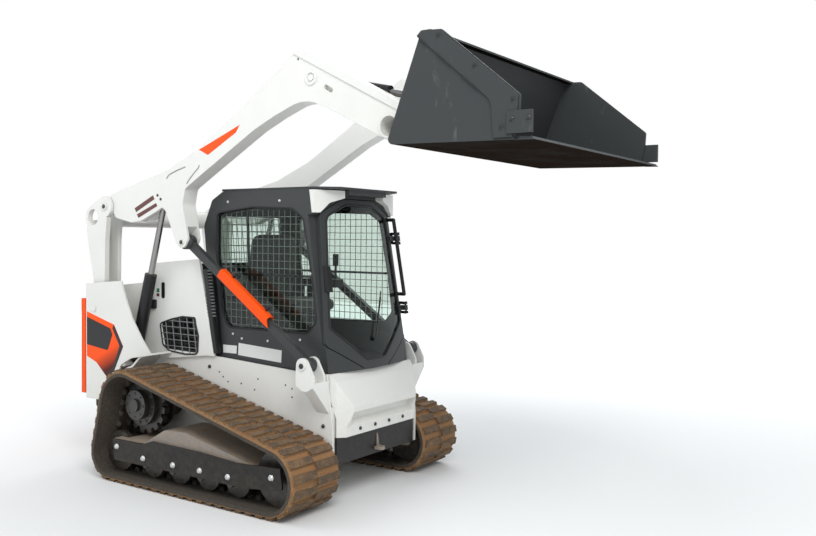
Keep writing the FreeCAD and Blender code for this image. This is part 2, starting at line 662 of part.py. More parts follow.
def make_towers():
    """Rear uprights: outer skin, inner panel with its vent, the fender between them and the pins they hold."""
    skin_back = -TOWER_OUTER + TOWER_PLATE
    skin = prism(TOWER_SKIN_ROWS, -TOWER_OUTER, skin_back)
    wall = prism(PANEL_ROWS, -PANEL_HALF, -FRAME_HALF).cut(prism(VENT, -PANEL_HALF - 1, -FRAME_HALF + 1))
    wall = wall.cut(prism(PANEL_SLOT, -PANEL_HALF - 1, -FRAME_HALF + 1))
    fender = prism(FENDER_ROWS, skin_back, -FRAME_HALF)
    shaft = pin(LIFT_FOOT, PIN_R, skin_back, -FRAME_HALF)
    cap = pin(LINK_FOOT, CAP_R, -TOWER_OUTER - CAP_THICK, -TOWER_OUTER)
    tower = fuse([skin, fender, wall, cap, shaft])
    write("tower_right", [tower])
    hinge = [mirrored(tower)]
    x, y = GATE_HINGE
    for z in GATE_HINGE_Z:
        hinge.append(post(x, y, GATE_PIN_R, z - 40, z + 40))
        for low in (z - 40, z + 18):
            high = low + 22
            hinge.append(post(x, y, GATE_KNUCKLE_R, low, high))
            hinge.append(box(x, TOWER_REAR_X + 40, TOWER_OUTER + CLEAR - 1, y, low, high))
            hinge.append(box(TOWER_REAR_X + 1, TOWER_REAR_X + 40, TOWER_OUTER - 2, y, low, high))
    write("tower_left", [fuse(hinge)])
    rim = prism(grown(VENT, -SEAT), -PANEL_HALF + 6, -FRAME_HALF)
    bars = [rim.cut(prism(grown(VENT, -14), -PANEL_HALF, -FRAME_HALF + 1))]
    slats = prism(grown(VENT, -4), -PANEL_HALF + 8, -FRAME_HALF - 4)
    low, high = 880.0, 1180.0
    drift = (high - low) * VENT_LEAN
    for i in range(VENT_COLUMNS):
        x = VENT_FIRST_X + i * VENT_PITCH
        bars.append(slats.common(prism([(x - VENT_BAR / 2, low, 0), (x + VENT_BAR / 2, low, 0),
                                        (x + VENT_BAR / 2 - drift, high, 0), (x - VENT_BAR / 2 - drift, high, 0)],
                                       -PANEL_HALF, -FRAME_HALF)))
    for i in range(VENT_ROWS):
        z = VENT_FIRST_Z + i * VENT_PITCH
        bars.append(slats.common(box(0, 520, -PANEL_HALF, -FRAME_HALF, z, z + VENT_BAR)))
    write_pair("side_grilles", fuse(bars))
    strip = prism(STRIP_ROWS, -PANEL_HALF, -CAB_HALF - SEAT)
    write_pair("ribbed_strips", strip.cut(prism(STRIP_LIMIT, -PANEL_HALF - 1, -FRAME_HALF + 1)))


LINK_ROWS = [(-602, 1850, 0), (-582, 1700, 60), (-512, 1390, 60), (LINK_FOOT[0] - LINK_FOOT_R, LINK_FOOT[1], 0),
             (LINK_FOOT[0] + LINK_FOOT_R, LINK_FOOT[1], 0), (-380, 1400, 60), (-374, 1702, 60),
             (-356, 1870, 0), (-440, 1950, 0)]
LINK_WEB_ROWS = [(-602, 1850, 0), (-582, 1700, 60), (-512, 1390, 60), (-514, 1220, 0), (-484, 1220, 0),
                 (-482, 1400, 60), (-548, 1700, 60), (-566, 1850, 0)]
LINK_INNER_PLATE = 30.0


def make_links():
    """Rear links: two cheeks and a rear web each side, joined by the cross tube through their heads."""
    inner_face = -LINK_INNER - LINK_INNER_PLATE
    pieces = []
    for y0, y1 in ((-LINK_OUTER, -LINK_OUTER + LINK_PLATE), (inner_face, -LINK_INNER)):
        pieces += [prism(LINK_ROWS, y0, y1), bar(LINK_TUBE, LINK_TUBE_BOSS_R, LINK_HEAD, LINK_HEAD_R, y0, y1),
                   pin(LINK_FOOT, LINK_FOOT_R, y0, y1)]
    pieces.append(prism(LINK_WEB_ROWS, -LINK_OUTER + LINK_PLATE, inner_face))
    pieces.append(pin(LINK_FOOT, LINK_FOOT_R, -LINK_OUTER + LINK_PLATE, inner_face))
    half = fuse(pieces)
    hole = CROSS_TUBE_R - CROSS_TUBE_WALL
    tube = ring(LINK_TUBE, CROSS_TUBE_R, hole, -LINK_INNER, LINK_INNER)
    bore = pin(LINK_TUBE, hole, -LINK_OUTER - 1, LINK_OUTER + 1)
    eye = pin(LINK_HEAD, PIN_R + RUN, -LINK_OUTER - 1, LINK_OUTER + 1)
    write("rear_links", [fuse([half, mirrored(half), tube]).cut(bore).cut(eye)])


ARM_ROWS = [(LINK_HEAD[0] + 50, LINK_HEAD[1] + 86, 0), (-38, 2115, 0), (294, 2196, 0), (620, 2333, 0),
            (998, 2559, 0), (1360, 2800, 120), (1500, 2906, 70), (1600, 2880, 60), (2261, 2541, 60),
            (2420, 2430, 60), (2410, 2320, 60), (2300, 2270, 60), (2180, 2323, 30), (1823, 2499, 200),
            (1576, 2604, 300), (1318, 2511, 200), (1138, 2432, 200), (659, 2166, 120), (480, 2065, 40),
            (454, 1959, 60), (507, 1727, 0), (ARM_HEEL[0] + 60, ARM_HEEL[1] + 20, 40),
            (ARM_HEEL[0] + 10, ARM_HEEL[1] - 62, 45), (ARM_HEEL[0] - 58, ARM_HEEL[1] - 10, 40),
            (281, 1907, 60), (241, 1944, 40), (200, 1917, 30), (19, 1845, 60), (-96, 1830, 60),
            (-276, 1866, 30), (LINK_HEAD[0] + 84, LINK_HEAD[1] - 50, 0)]
ROD_POCKET_ROWS = [(-80, 1750, 0), (-25, 1850, 0), (32, 1960, 40), (34, 2060, 30), (95, 2134, 20),
                   (215, 2134, 40), (290, 2060, 30), (300, 1960, 30), (392, 1690, 0)]
RAIL_LINE = ((1500.0, 2916.0), (2300.0, 2506.0))
ARM_SLOT = ((1744.0, 2658.0), (1786.0, 2634.0))
ARM_SLOT_R = 15.0
ARM_HOLE = (1517.0, 2852.0)
ARM_HOLE_R = 9.0


def make_arms():
    """Lift arms: one long box section each, bent at the knee, forked for the link and the cylinder's rod."""
    face = -ARM_OUTER
    back = -ARM_INNER
    body = prism(ARM_ROWS, face, back).cut(pin(LINK_HEAD, LINK_HEAD_R + CLEAR, face - 1, back + 1))
    lug0 = -LINK_OUTER + LINK_PLATE + CLEAR
    lug1 = -LINK_INNER - LINK_INNER_PLATE - CLEAR
    lug = bar(LINK_HEAD, ARM_LUG_R, (LINK_HEAD[0] + 200, LINK_HEAD[1] + 20), ARM_LUG_R, lug0, lug1)
    lug = lug.fuse(pin(LINK_HEAD, PIN_R, -LINK_OUTER - CAP_THICK, -LINK_INNER))
    cap = pin(LINK_HEAD, CAP_R, -LINK_OUTER - CAP_THICK - SEAT, -LINK_OUTER - SEAT)
    slot_half = EYE_WIDTH / 2 + CLEAR
    pocket = prism(ROD_POCKET_ROWS, -CYLINDER_MID - slot_half, -CYLINDER_MID + slot_half)
    sweep = [(ARM_HEEL[0], ARM_HEEL[1], HEEL_R + CLEAR)]
    for angle in LINK_SWEEP:
        far = turned((ARM_HEEL[0] + 300, ARM_HEEL[1]), ARM_HEEL, angle)
        sweep.append(far + (HEEL_R + CLEAR,))
    fork_half = CONTROL_WIDTH / 2 + CLEAR
    fork = belt(sweep, -CYLINDER_MID - fork_half, -CYLINDER_MID + fork_half)
    heel = pin(ARM_HEEL, PIN_R, face - CAP_THICK, back)
    knee = fuse([pin(TILT_FOOT, PIN_R, face - CAP_THICK, -TILT_MID + EYE_WIDTH / 2 + PIN_END),
                 ring(TILT_FOOT, BOSS_R, CAP_R, face - CAP_THICK, face),
                 pin(TILT_FOOT, BOSS_R, back, -TILT_MID - EYE_WIDTH / 2 - CLEAR)])
    tip = pin(BUCKET_PIVOT, PIN_R, face - CAP_THICK, back + 40)
    rail = bar(RAIL_LINE[0], RAIL_DEPTH, RAIL_LINE[1], RAIL_DEPTH, face - RAIL_PROUD, face + 1)
    upper = prism(ARM_ROWS, face - RAIL_PROUD - 1, face + 2)
    body = body.cut(pocket).cut(fork)
    slot = bar(ARM_SLOT[0], ARM_SLOT_R, ARM_SLOT[1], ARM_SLOT_R, face - 1, face + 30)
    body = body.cut(slot).cut(pin(ARM_HOLE, ARM_HOLE_R, face - 1, face + 30))
    hole = CROSS_TUBE_R - CROSS_TUBE_WALL
    collar = pin(ARM_TUBE, CROSS_TUBE_R, face - CAP_THICK, face)
    arm = fuse([body, lug, cap, heel, knee, tip, collar, rail.common(upper)])
    write_sides("lift_arm", arm.cut(pin(ARM_TUBE, hole, face - CAP_THICK - 1, back + 1)))
    write("arm_cross_tube", [ring(ARM_TUBE, CROSS_TUBE_R, hole, -ARM_INNER, ARM_INNER)])


def make_control_links():
    """Front links, and the channel that is swung over a cylinder's rod, stowed on the right one."""
    y0 = -CYLINDER_MID - CONTROL_WIDTH / 2
    y1 = -CYLINDER_MID + CONTROL_WIDTH / 2
    link = bar(ARM_HEEL, HEEL_R, CONTROL_FOOT, LINK_TIP_R, y0, y1)
    for eye in (ARM_HEEL, CONTROL_FOOT):
        link = link.cut(pin(eye, PIN_R + RUN, y0 - 1, y1 + 1))
    write_pair("control_links", link)
    near = toward(ARM_HEEL, CONTROL_FOOT, STOP_START)
    far = toward(ARM_HEEL, CONTROL_FOOT, STOP_END)
    inner = HEEL_R + SEAT
    outer = inner + STOP_WALL
    channel = bar(near, outer, far, outer, y0 - STOP_WALL - SEAT, y1 + STOP_WALL)
    channel = channel.cut(bar(near, inner, far, inner, y0 - SEAT, y1 + 2 * STOP_WALL))
    for end in (near, far):
        channel = channel.cut(pin(end, outer + 1, y0 - 20, y1 + 20))
    write("arm_stop", [max(channel.Solids, key=lambda solid: solid.Volume)])


BRACKET_FOOT = (CONTROL_FOOT[0] + 20.0, 830.0)
BRACKET_FOOT_R = 75.0
BRACKET_R = 50.0
BRACKET_BASE = (1512.0, 1660.0, 780.0, 815.0)
GUSSET = (1560.0, 1660.0, 600.0)


def make_brackets():
    """Two ears on a gusseted base hold each front link's foot on the frame's side."""
    x0, x1, low, high = BRACKET_BASE
    pieces = [box(x0, x1, -ARM_OUTER, -FRAME_HALF, low, high)]
    for y in (-ARM_OUTER, -ARM_INNER - EAR_PLATE):
        pieces.append(bar(CONTROL_FOOT, BRACKET_R, BRACKET_FOOT, BRACKET_FOOT_R, y, y + EAR_PLATE))
    gusset_x0, gusset_x1, foot = GUSSET
    pieces.append(front_view([(-ARM_OUTER, low + 1, 0), (-FRAME_HALF, low + 1, 0), (-FRAME_HALF, foot, 0)],
                             gusset_x0, gusset_x1))
    pieces.append(pin(CONTROL_FOOT, CAP_R, -ARM_OUTER - CAP_THICK, -ARM_OUTER))
    pieces.append(pin(CONTROL_FOOT, PIN_R, -ARM_OUTER, -ARM_INNER))
    write_pair("link_brackets", fuse(pieces))


def make_cylinders():
    """Lift and tilt cylinders: barrel with its foot eye, and rod with its own eye."""
    half = EYE_WIDTH / 2
    y = -CYLINDER_MID
    foot_eye = pin(LIFT_FOOT, EYE_R, y - half, y + half)
    barrel = fuse([rod_between(LIFT_FOOT, LIFT_EYE, LIFT_BARREL_R, y, EYE_R - 8, LIFT_BARREL_LENGTH), foot_eye])
    bore = rod_between(LIFT_FOOT, LIFT_EYE, LIFT_ROD_R + RUN, y, EYE_R + 10, LIFT_BARREL_LENGTH + 10)
    write_pair("lift_barrels", barrel.cut(bore).cut(pin(LIFT_FOOT, PIN_R + RUN, y - half - 1, y + half + 1)))
    reach = math.dist(LIFT_FOOT, LIFT_EYE)
    write_pair("lift_rods", fuse([rod_between(LIFT_FOOT, LIFT_EYE, LIFT_ROD_R, y,
                                              LIFT_BARREL_LENGTH - LIFT_ROD_INSIDE, reach),
                                  pin(LIFT_EYE, LIFT_ROD_EYE_R, y - half, y + half)]))
    y = -TILT_MID
    neck = BOSS_R + CLEAR
    barrel = fuse([rod_between(TILT_FOOT, TILT_EYE, TILT_BARREL_R, y, neck, TILT_BARREL_LENGTH),
                   rod_between(TILT_FOOT, TILT_EYE, half - 4, y, EYE_R - 10, neck),
                   pin(TILT_FOOT, EYE_R, y - half, y + half)])
    bore = rod_between(TILT_FOOT, TILT_EYE, TILT_ROD_R + RUN, y, EYE_R + 10, TILT_BARREL_LENGTH + 10)
    write_pair("tilt_barrels", barrel.cut(bore).cut(pin(TILT_FOOT, PIN_R + RUN, y - half - 1, y + half + 1)))
    reach = math.dist(TILT_FOOT, TILT_EYE)
    write_pair("tilt_rods", fuse([rod_between(TILT_FOOT, TILT_EYE, TILT_ROD_R, y,
                                              TILT_BARREL_LENGTH - TILT_ROD_INSIDE, reach),
                                  pin(TILT_EYE, TILT_ROD_EYE_R, y - half, y + half)]))


def bucket_frame(along, out):
    """Point on the bucket's back: along it from the heel, and out behind it."""
    lean = math.radians(BUCKET_BACK_LEAN)
    return (BUCKET_HEEL[0] + along * math.sin(lean) - out * math.cos(lean),
            BUCKET_HEEL[1] + along * math.cos(lean) + out * math.sin(lean))


BUCKET_PEAK = (2760.0, 2829.0)
BUCKET_NOSE = (3225.0, 2450.0)
CHEEK_CREASE = ((3080.0, 2241.0), (3065.0, 2432.0), (2612.0, 2808.0))
TOP_FLANGE = 60.0


def make_bucket():
    """Bucket: bent floor and back, end plates, the cheek plates and corner blocks on them, cutting edge."""
    heel_x, heel_z = BUCKET_HEEL
    top_x, top_z = bucket_frame(BUCKET_BACK_LENGTH, 0)
    lip_x, lip_z = BUCKET_LIP_X, heel_z - 20
    floor_x, floor_z = lip_x - EDGE_LENGTH + 30, lip_z + 4
    t = BUCKET_PLATE
    plate_outer = BUCKET_HALF - CORNER_PROUD
    plate_inner = plate_outer - BUCKET_END_PLATE
    section = [(heel_x, heel_z, 30), (floor_x, floor_z, 0), (floor_x, floor_z + t, 0), (heel_x + t, heel_z + t, 60),
               (top_x + t, top_z - t, 0), (top_x + TOP_FLANGE, top_z - t, 0), (top_x + TOP_FLANGE, top_z, 0),
               (top_x, top_z, 0)]
    shell = prism(section, -plate_outer, plate_outer)
    end_rows = [(heel_x, heel_z, 30), (floor_x, floor_z, 0), (floor_x + 30, floor_z + 140, 0), BUCKET_NOSE + (20,),
                BUCKET_PEAK + (20,), (top_x, top_z, 0)]
    end = prism(end_rows, -plate_outer, -plate_inner)
    shell = fuse([shell, end, mirrored(end)])
    write("bucket_shell", [shell])
    edge = prism([(lip_x - EDGE_LENGTH, floor_z, 0), (lip_x, lip_z, 0), (lip_x - 20, lip_z + 18, 0),
                  (lip_x - EDGE_LENGTH, floor_z + t + 10, 0)], -plate_outer, plate_outer)
    edge = edge.cut(prism(grown(square(section), SEAT), -BUCKET_HALF, BUCKET_HALF))
    edge = edge.cut(box(lip_x - EDGE_LENGTH - 1, floor_x + 32, -BUCKET_HALF, -plate_inner + SEAT, 2000, 2600))
    edge = edge.cut(box(lip_x - EDGE_LENGTH - 1, floor_x + 32, plate_inner - SEAT, BUCKET_HALF, 2000, 2600))
    write("cutting_edge", [edge])
    cheek_rows = [(top_x + 4, top_z - 4, 0)]
    cheek_rows += [CHEEK_CREASE[2] + (0,), CHEEK_CREASE[1] + (90,), CHEEK_CREASE[0] + (0,)]
    cheek_rows += [(floor_x - 4, floor_z + 12, 0), (floor_x + 24, floor_z + 140, 0),
                   (BUCKET_NOSE[0] - 6, BUCKET_NOSE[1], 20), (BUCKET_PEAK[0] - 2, BUCKET_PEAK[1] - 6, 20)]
    cheek = prism(cheek_rows, -plate_outer - SEAT - CHEEK_PLATE, -plate_outer - SEAT)
    corner_x = lip_x - 10
    corner = box(corner_x - CORNER_LENGTH, corner_x, -BUCKET_HALF, -plate_outer - SEAT,
                 lip_z + 33, lip_z + 33 + CORNER_HEIGHT)
    cheek = fuse([cheek, corner])
    write_pair("bucket_cheeks", cheek)


def back_plate(low, high, y0, y1):
    rows = [bucket_frame(low, SEAT) + (0,), bucket_frame(high, SEAT) + (0,),
            bucket_frame(high, COUPLER_PLATE) + (0,), bucket_frame(low, COUPLER_PLATE) + (0,)]
    return prism(rows, y0, y1)


COUPLER_BOTTOM = 190.0
COUPLER_TOP = 90.0
COUPLER_SPINE = 215.0
EAR_STEP = 34.0


def make_coupler():
    """Quick coupler: a plate frame on the bucket's back, with ears for the arm pins and the tilt rods."""
    half = ARM_INNER - CLEAR
    low, high = COUPLER_LOW, COUPLER_HIGH
    rod_gap = EYE_WIDTH / 2 + CLEAR
    solids = [back_plate(low, low + COUPLER_BOTTOM, -half, half), back_plate(high - COUPLER_TOP, high, -half, half)]
    right = [back_plate(low, high, -half, -TILT_MID - rod_gap),
             back_plate(low, high, -TILT_MID + rod_gap, -half + COUPLER_SPINE)]
    pivot = pin(BUCKET_PIVOT, PIN_R + RUN, -half - 1, 0)
    # The arm's cross tube passes close behind the upper ears when the bucket is rolled right back
    tube = pin(turned(ARM_TUBE, BUCKET_PIVOT, -ROLL_BACK), CROSS_TUBE_R + CLEAR, -half - 1, 0)
    heel_foot = bucket_frame(130, COUPLER_PLATE / 2)
    for y0 in (-half, -half + EAR_STEP):
        ear = bar(BUCKET_PIVOT, PIVOT_EAR_R, heel_foot, 70, y0, y0 + EAR_PLATE - 6)
        right.append(ear.cut(pivot))
    foot = bucket_frame(330, COUPLER_PLATE / 2)
    for y0 in (-TILT_MID - rod_gap - EAR_PLATE, -TILT_MID + rod_gap):
        right.append(bar(TILT_EYE, TILT_EAR_R, foot, 90, y0, y0 + EAR_PLATE).cut(tube))
        cap_y = y0 - CAP_THICK if y0 < -TILT_MID else y0 + EAR_PLATE
        right.append(pin(TILT_EYE, TILT_EAR_R - 6, cap_y, cap_y + CAP_THICK))
    solids += right + [mirrored(piece) for piece in right]
    keep = prism([bucket_frame(-80, SEAT) + (0,), bucket_frame(800, SEAT) + (0,), bucket_frame(800, 300) + (0,),
                  bucket_frame(-80, 300) + (0,)], -half - 50, half + 50)
    write("coupler", [fuse(solids).common(keep)])


def door_front_x(z):
    """X of the door's outer face at the middle plane."""
    return DOOR_TOP_X + (DOOR_TOP_Z - z) * DOOR_LEAN


def door_sag(y):
    """How far the door's curved plan falls back from the middle plane."""
    return DOOR_PLAN_R - math.sqrt(DOOR_PLAN_R ** 2 - y ** 2)


WIDE = CAB_HALF + 60.0
LOW_Z = 800.0
HIGH_Z = 2160.0


def door_layer(front, back, z0=LOW_Z, z1=HIGH_Z):
    """Leaning curved wall between two offsets behind the door's outer face, wider than the cab."""
    x = door_front_x(z0)
    sag = door_sag(WIDE)
    a, b = x - front, x - back
    edges = [Part.Arc(V(a - sag, -WIDE, z0), V(a, 0, z0), V(a - sag, WIDE, z0)).toShape(),
             Part.LineSegment(V(a - sag, WIDE, z0), V(b - sag, WIDE, z0)).toShape(),
             Part.Arc(V(b - sag, WIDE, z0), V(b, 0, z0), V(b - sag, -WIDE, z0)).toShape(),
             Part.LineSegment(V(b - sag, -WIDE, z0), V(a - sag, -WIDE, z0)).toShape()]
    return Part.Face(Part.Wire(edges)).extrude(V(door_front_x(z1) - x, 0, z1 - z0))


def in_front(rows):
    """Prism of a front outline through the whole front of the cab."""
    return front_view(rows, 1200, 1900)


def cab_rows(step):
    """Side outline of the cab, drawn in by a step, running past the door in front."""
    return [(579 + step, CAB_FLOOR_Z + step, 0), (470 + step, 1809, 60), (551 + step, ROOF_Z - 62 - step, 40),
            (663, ROOF_Z - step, 60), (1560, ROOF_Z - step, 0), (1800, CAB_FLOOR_Z + step, 0)]


WINDOW = [(600, 1899, 40), (941, 1938, 60), (1305, 1925, 40), (1403, 1861, 60), (1489, 1444, 200),
          (1525, 1185, 60), (1451, 1102, 60), (714, 1096, 60), (658, 1189, 60), (593, 1639, 100)]
SASH_X = 905.0
SASH_Z = 1466.0
REAR_WINDOW_INSET = 118.0
REAR_WINDOW = both_sides([(CAB_HALF - REAR_WINDOW_INSET, 1300, 40), (CAB_HALF - REAR_WINDOW_INSET, 1880, 40)])
DOOR_SIDE = CAB_HALF - 8.0
DOOR_SHOULDER = CAB_HALF - 64.0
DOOR_ROWS = both_sides([(120, CAB_FLOOR_Z, 20), (DOOR_SIDE, DOOR_SIDE_LOW, 30), (DOOR_SHOULDER, DOOR_SIDE_TOP, 48),
                        (170, DOOR_SIDE_TOP + 102, 60)])
PANE_LOW = DOOR_SIDE_LOW + 114.0
PANE_HIGH = DOOR_SIDE_TOP - 19.0
PANE_ROWS = both_sides([(102, PANE_LOW - 226, 40), (CAB_HALF - 46, PANE_LOW, 40), (CAB_HALF - 116, PANE_HIGH, 70),
                        (145, PANE_HIGH + 83, 60)])


def door_half(z):
    """The door's half width on its long side edges."""
    return DOOR_SIDE + (DOOR_SHOULDER - DOOR_SIDE) * (z - DOOR_SIDE_LOW) / (DOOR_SIDE_TOP - DOOR_SIDE_LOW)


def door_band(z):
    """Y of the middle of the door's frame between its edge and the glass."""
    glass = CAB_HALF - 46 - 70 * (z - PANE_LOW) / (PANE_HIGH - PANE_LOW)
    return (door_half(z) + glass) / 2


def make_cab():
    """Hollow cab shell: side and rear walls, roof, floor and the frame that the door closes on."""
    hull = prism(cab_rows(0), -CAB_HALF, CAB_HALF).cut(door_layer(-600, 0))
    room = prism(cab_rows(CAB_WALL), -CAB_HALF + CAB_WALL, CAB_HALF - CAB_WALL)
    shell = hull.cut(room.cut(door_layer(-600, DOOR_THICK + SEAT + FRONT_FRAME)))
    # The leaf lies in a recess, and the pillars beside it stand back behind it
    seat_rows = square(grown(DOOR_ROWS, DOOR_GAP))
    leaf_room = door_layer(-600, DOOR_THICK + SEAT)
    shell = shell.cut(in_front(seat_rows).common(leaf_room))
    for side in (-1, 1):
        y0, y1 = sorted((side * (DOOR_SHOULDER - 4), side * WIDE))
        beside = box(1200, 1900, y0, y1, DOOR_SIDE_LOW + 4, DOOR_SIDE_TOP - 6)
        shell = shell.cut(beside.common(leaf_room))
        w0, w1 = sorted((side * (CAB_HALF + 5), side * (CAB_HALF - CAB_WALL - 1)))
        shell = shell.cut(prism(WINDOW, w0, w1))
    shell = shell.cut(in_front(square(grown(DOOR_ROWS, -DOOR_LAP))))
    shell = shell.cut(front_view(REAR_WINDOW, 300, 800))
    write("cab_shell", [shell.removeSplitter()])
    pane_y = -CAB_HALF + GLASS_BACK
    write_pair("side_windows", prism(grown(WINDOW, -SEAT), pane_y, pane_y + GLASS))
    y0 = -CAB_HALF + SCREEN_BACK
    y1 = y0 + SCREEN_THICK
    whole = prism(grown(WINDOW, -SEAT), y0, y1)
    rim = whole.cut(prism(grown(WINDOW, -SEAT - SCREEN_BAR), y0 - 1, y1 + 1))
    upright = prism([(SASH_X, 1000, 0), (SASH_X + SCREEN_BAR, 1000, 0), (SASH_X - 40 + SCREEN_BAR, 2000, 0),
                     (SASH_X - 40, 2000, 0)], y0, y1).common(whole)
    rail = box(400, 1700, y0, y1, SASH_Z, SASH_Z + SCREEN_BAR).common(whole)
    write_pair("side_screens", fuse([rim, upright, rail]))
    pane = front_view(grown(REAR_WINDOW, -SEAT), -GLASS / 2, GLASS / 2)
    pane.rotate(V(0, 0, 1330), V(0, 1, 0), -REAR_LEAN)
    rows = cab_rows(0)
    pane.translate(V((rows[0][0] + rows[1][0]) / 2 + CAB_WALL / 2, 0, 0))
    write("rear_window", [pane])


def door_edge(z):
    """Point of the door's hinge line at a height."""
    return V(door_front_x(z) - HINGE_BACK, HINGE_Y, z)


def hinge_round(z, radius, low, high):
    """Cylinder on the door's hinge line, between two heights round z."""
    return stick(door_edge(z + low), door_edge(z + high), radius)


def door_spot(y, z, out):
    """Point in front of the door's outer face."""
    return V(door_front_x(z) - door_sag(y) + out, y, z)


def make_door():
    """Glazed door leaf with its straps, handle, grab bar and wiper, and the fixed hinge brackets."""
    leaf = door_layer(0, DOOR_THICK)
    frame = leaf.common(in_front(DOOR_ROWS)).cut(in_front(PANE_ROWS))
    for z in HINGE_Z:
        edge = door_half(z)
        low, high = z - HINGE_HALF, z + HINGE_HALF
        strap = door_layer(-12, -3, low, high).common(box(1200, 1900, edge - 35, HINGE_Y, low, high))
        root = door_layer(-12, 5, low, high).common(box(1200, 1900, edge - 35, edge - 6, low, high))
        neck = door_layer(-HINGE_REACH, -3, low, high)
        neck = neck.common(box(1200, 1900, HINGE_Y - HINGE_NECK, HINGE_Y, low, high))
        frame = frame.fuse([strap, root, neck, hinge_round(z, HINGE_R, -HINGE_HALF, HINGE_HALF)])
        frame = frame.cut(hinge_round(z, HINGE_PIN_R + RUN, -60, 60))
    write("door_frame", [frame.removeSplitter()])
    write("door_glass", [door_layer(GLASS_SET, GLASS_SET + GLASS).common(in_front(grown(PANE_ROWS, -SEAT)))])
    handle_y = -door_band(sum(HANDLE_Z) / 2)
    case = box(1200, 1900, handle_y - HANDLE_HALF, handle_y + HANDLE_HALF, HANDLE_Z[0], HANDLE_Z[1])
    write("door_handle", [door_layer(-HANDLE_DEEP, -SEAT).common(case)])
    corners = []
    posts = []
    for z in GRAB_Z:
        corner = door_spot(door_band(z), z, GRAB_OUT)
        corners.append(corner)
        posts.append(Part.makeCylinder(GRAB_R, 2 * GRAB_OUT, corner - V(2 * GRAB_OUT, 0, 0), V(1, 0, 0)))
        posts.append(Part.makeSphere(GRAB_R, corner))
    posts.append(stick(corners[0], corners[1], GRAB_R))
    write("grab_bar", [fuse(posts).common(door_layer(-3 * GRAB_OUT, -SEAT))])
    hinges = []
    for z in HINGE_Z:
        rows = [(door_front_x(z - 42) - 150, z - 42, 0), (door_front_x(z - 42) - 74, z - 42, 0),
                (door_front_x(z + 42) - 74, z + 42, 0), (door_front_x(z + 42) - 150, z + 42, 0)]
        knuckles = [hinge_round(z, HINGE_PIN_R, -44, 44), prism(rows, CAB_HALF + SEAT, HINGE_Y)]
        for low, high in ((-44, -24), (24, 44)):
            knuckles.append(hinge_round(z, HINGE_R, low, high))
            x0, x1 = door_front_x(z + low), door_front_x(z + high)
            ear = [(x0 - 80, z + low, 0), (x0 - HINGE_BACK, z + low, 0), (x1 - HINGE_BACK, z + high, 0),
                   (x1 - 80, z + high, 0)]
            knuckles.append(prism(ear, CAB_HALF + 4, HINGE_Y))
        hinges.append(fuse(knuckles))
    write("door_hinges", hinges)
    foot = door_spot(0, WIPER_Z, SEAT + WIPER_FOOT_R * DOOR_LEAN - GLASS_SET)
    span = (WIPER_TIP[0], WIPER_TIP[1] - WIPER_Z)
    near, tip, far = [door_spot(span[0] * share, WIPER_Z + span[1] * share, WIPER_OUT) for share in (0.4, 1.0, 1.15)]
    lift = V(WIPER_BAR / 2, 0, 0)
    write("wiper", [fuse([Part.makeCylinder(WIPER_FOOT_R, 2 * WIPER_OUT, foot, V(1, 0, 0)),
                          strut(door_spot(0, WIPER_Z - 6, WIPER_OUT) + lift, tip + lift, WIPER_BAR, WIPER_BAR),
                          strut(near, far, WIPER_BAR - 2, WIPER_BAR)])])


LAMP_INNER = CAB_HALF - 233.0
LAMP_LOW_Z = DOOR_SIDE_TOP + 6.0
LAMP_ROWS = [(-LAMP_INNER, ROOF_Z - 6, 0), (-LAMP_INNER, ROOF_Z - 56, 0), (-CAB_HALF + 118, ROOF_Z - 90, 30),
             (-CAB_HALF + 50, LAMP_LOW_Z, 10), (-CAB_HALF + 4, LAMP_LOW_Z, 0), (-CAB_HALF + 4, ROOF_Z - 6, 0)]


def make_roof():
    """Roof panel with its front visor, and the wedge lamp housings under the visor's corners."""
    half = CAB_HALF - 10
    visor_half = CAB_HALF - 129
    z = ROOF_Z + SEAT
    plan = [(640, -half), (1480, -half), (ROOF_FRONT_X, -visor_half), (ROOF_FRONT_X, visor_half), (1480, half),
            (640, half)]
    cap = plan_view(plan, z, z + ROOF_CAP)
    inner = LAMP_INNER - CLEAR
    visor = box(1480, ROOF_FRONT_X - 18, -inner, inner, ROOF_Z - VISOR_DROP, z + 5).cut(door_layer(-SEAT, 400))
    write("cab_roof", [fuse([cap, visor])])
    lamp = front_view(LAMP_ROWS, 1400, 1640).cut(door_layer(-SEAT, 400))
    slant = plan_view([(1400, -CAB_HALF), (1494, -CAB_HALF), (LAMP_TIP_X, -LAMP_INNER), (1400, -LAMP_INNER)],
                      LAMP_LOW_Z - 10, ROOF_Z)
    write_pair("lamp_housings", lamp.common(slant))


SEAT_FLOOR_Z = CAB_FLOOR_Z + CAB_WALL
ARMREST_OUTER = CAB_HALF - CAB_WALL - ARMREST_GAP
ARMREST_INNER = ARMREST_OUTER - ARMREST_WIDTH
CUSHION_HALF = ARMREST_INNER - 25.0
BACKREST_HALF = CUSHION_HALF - 20.0


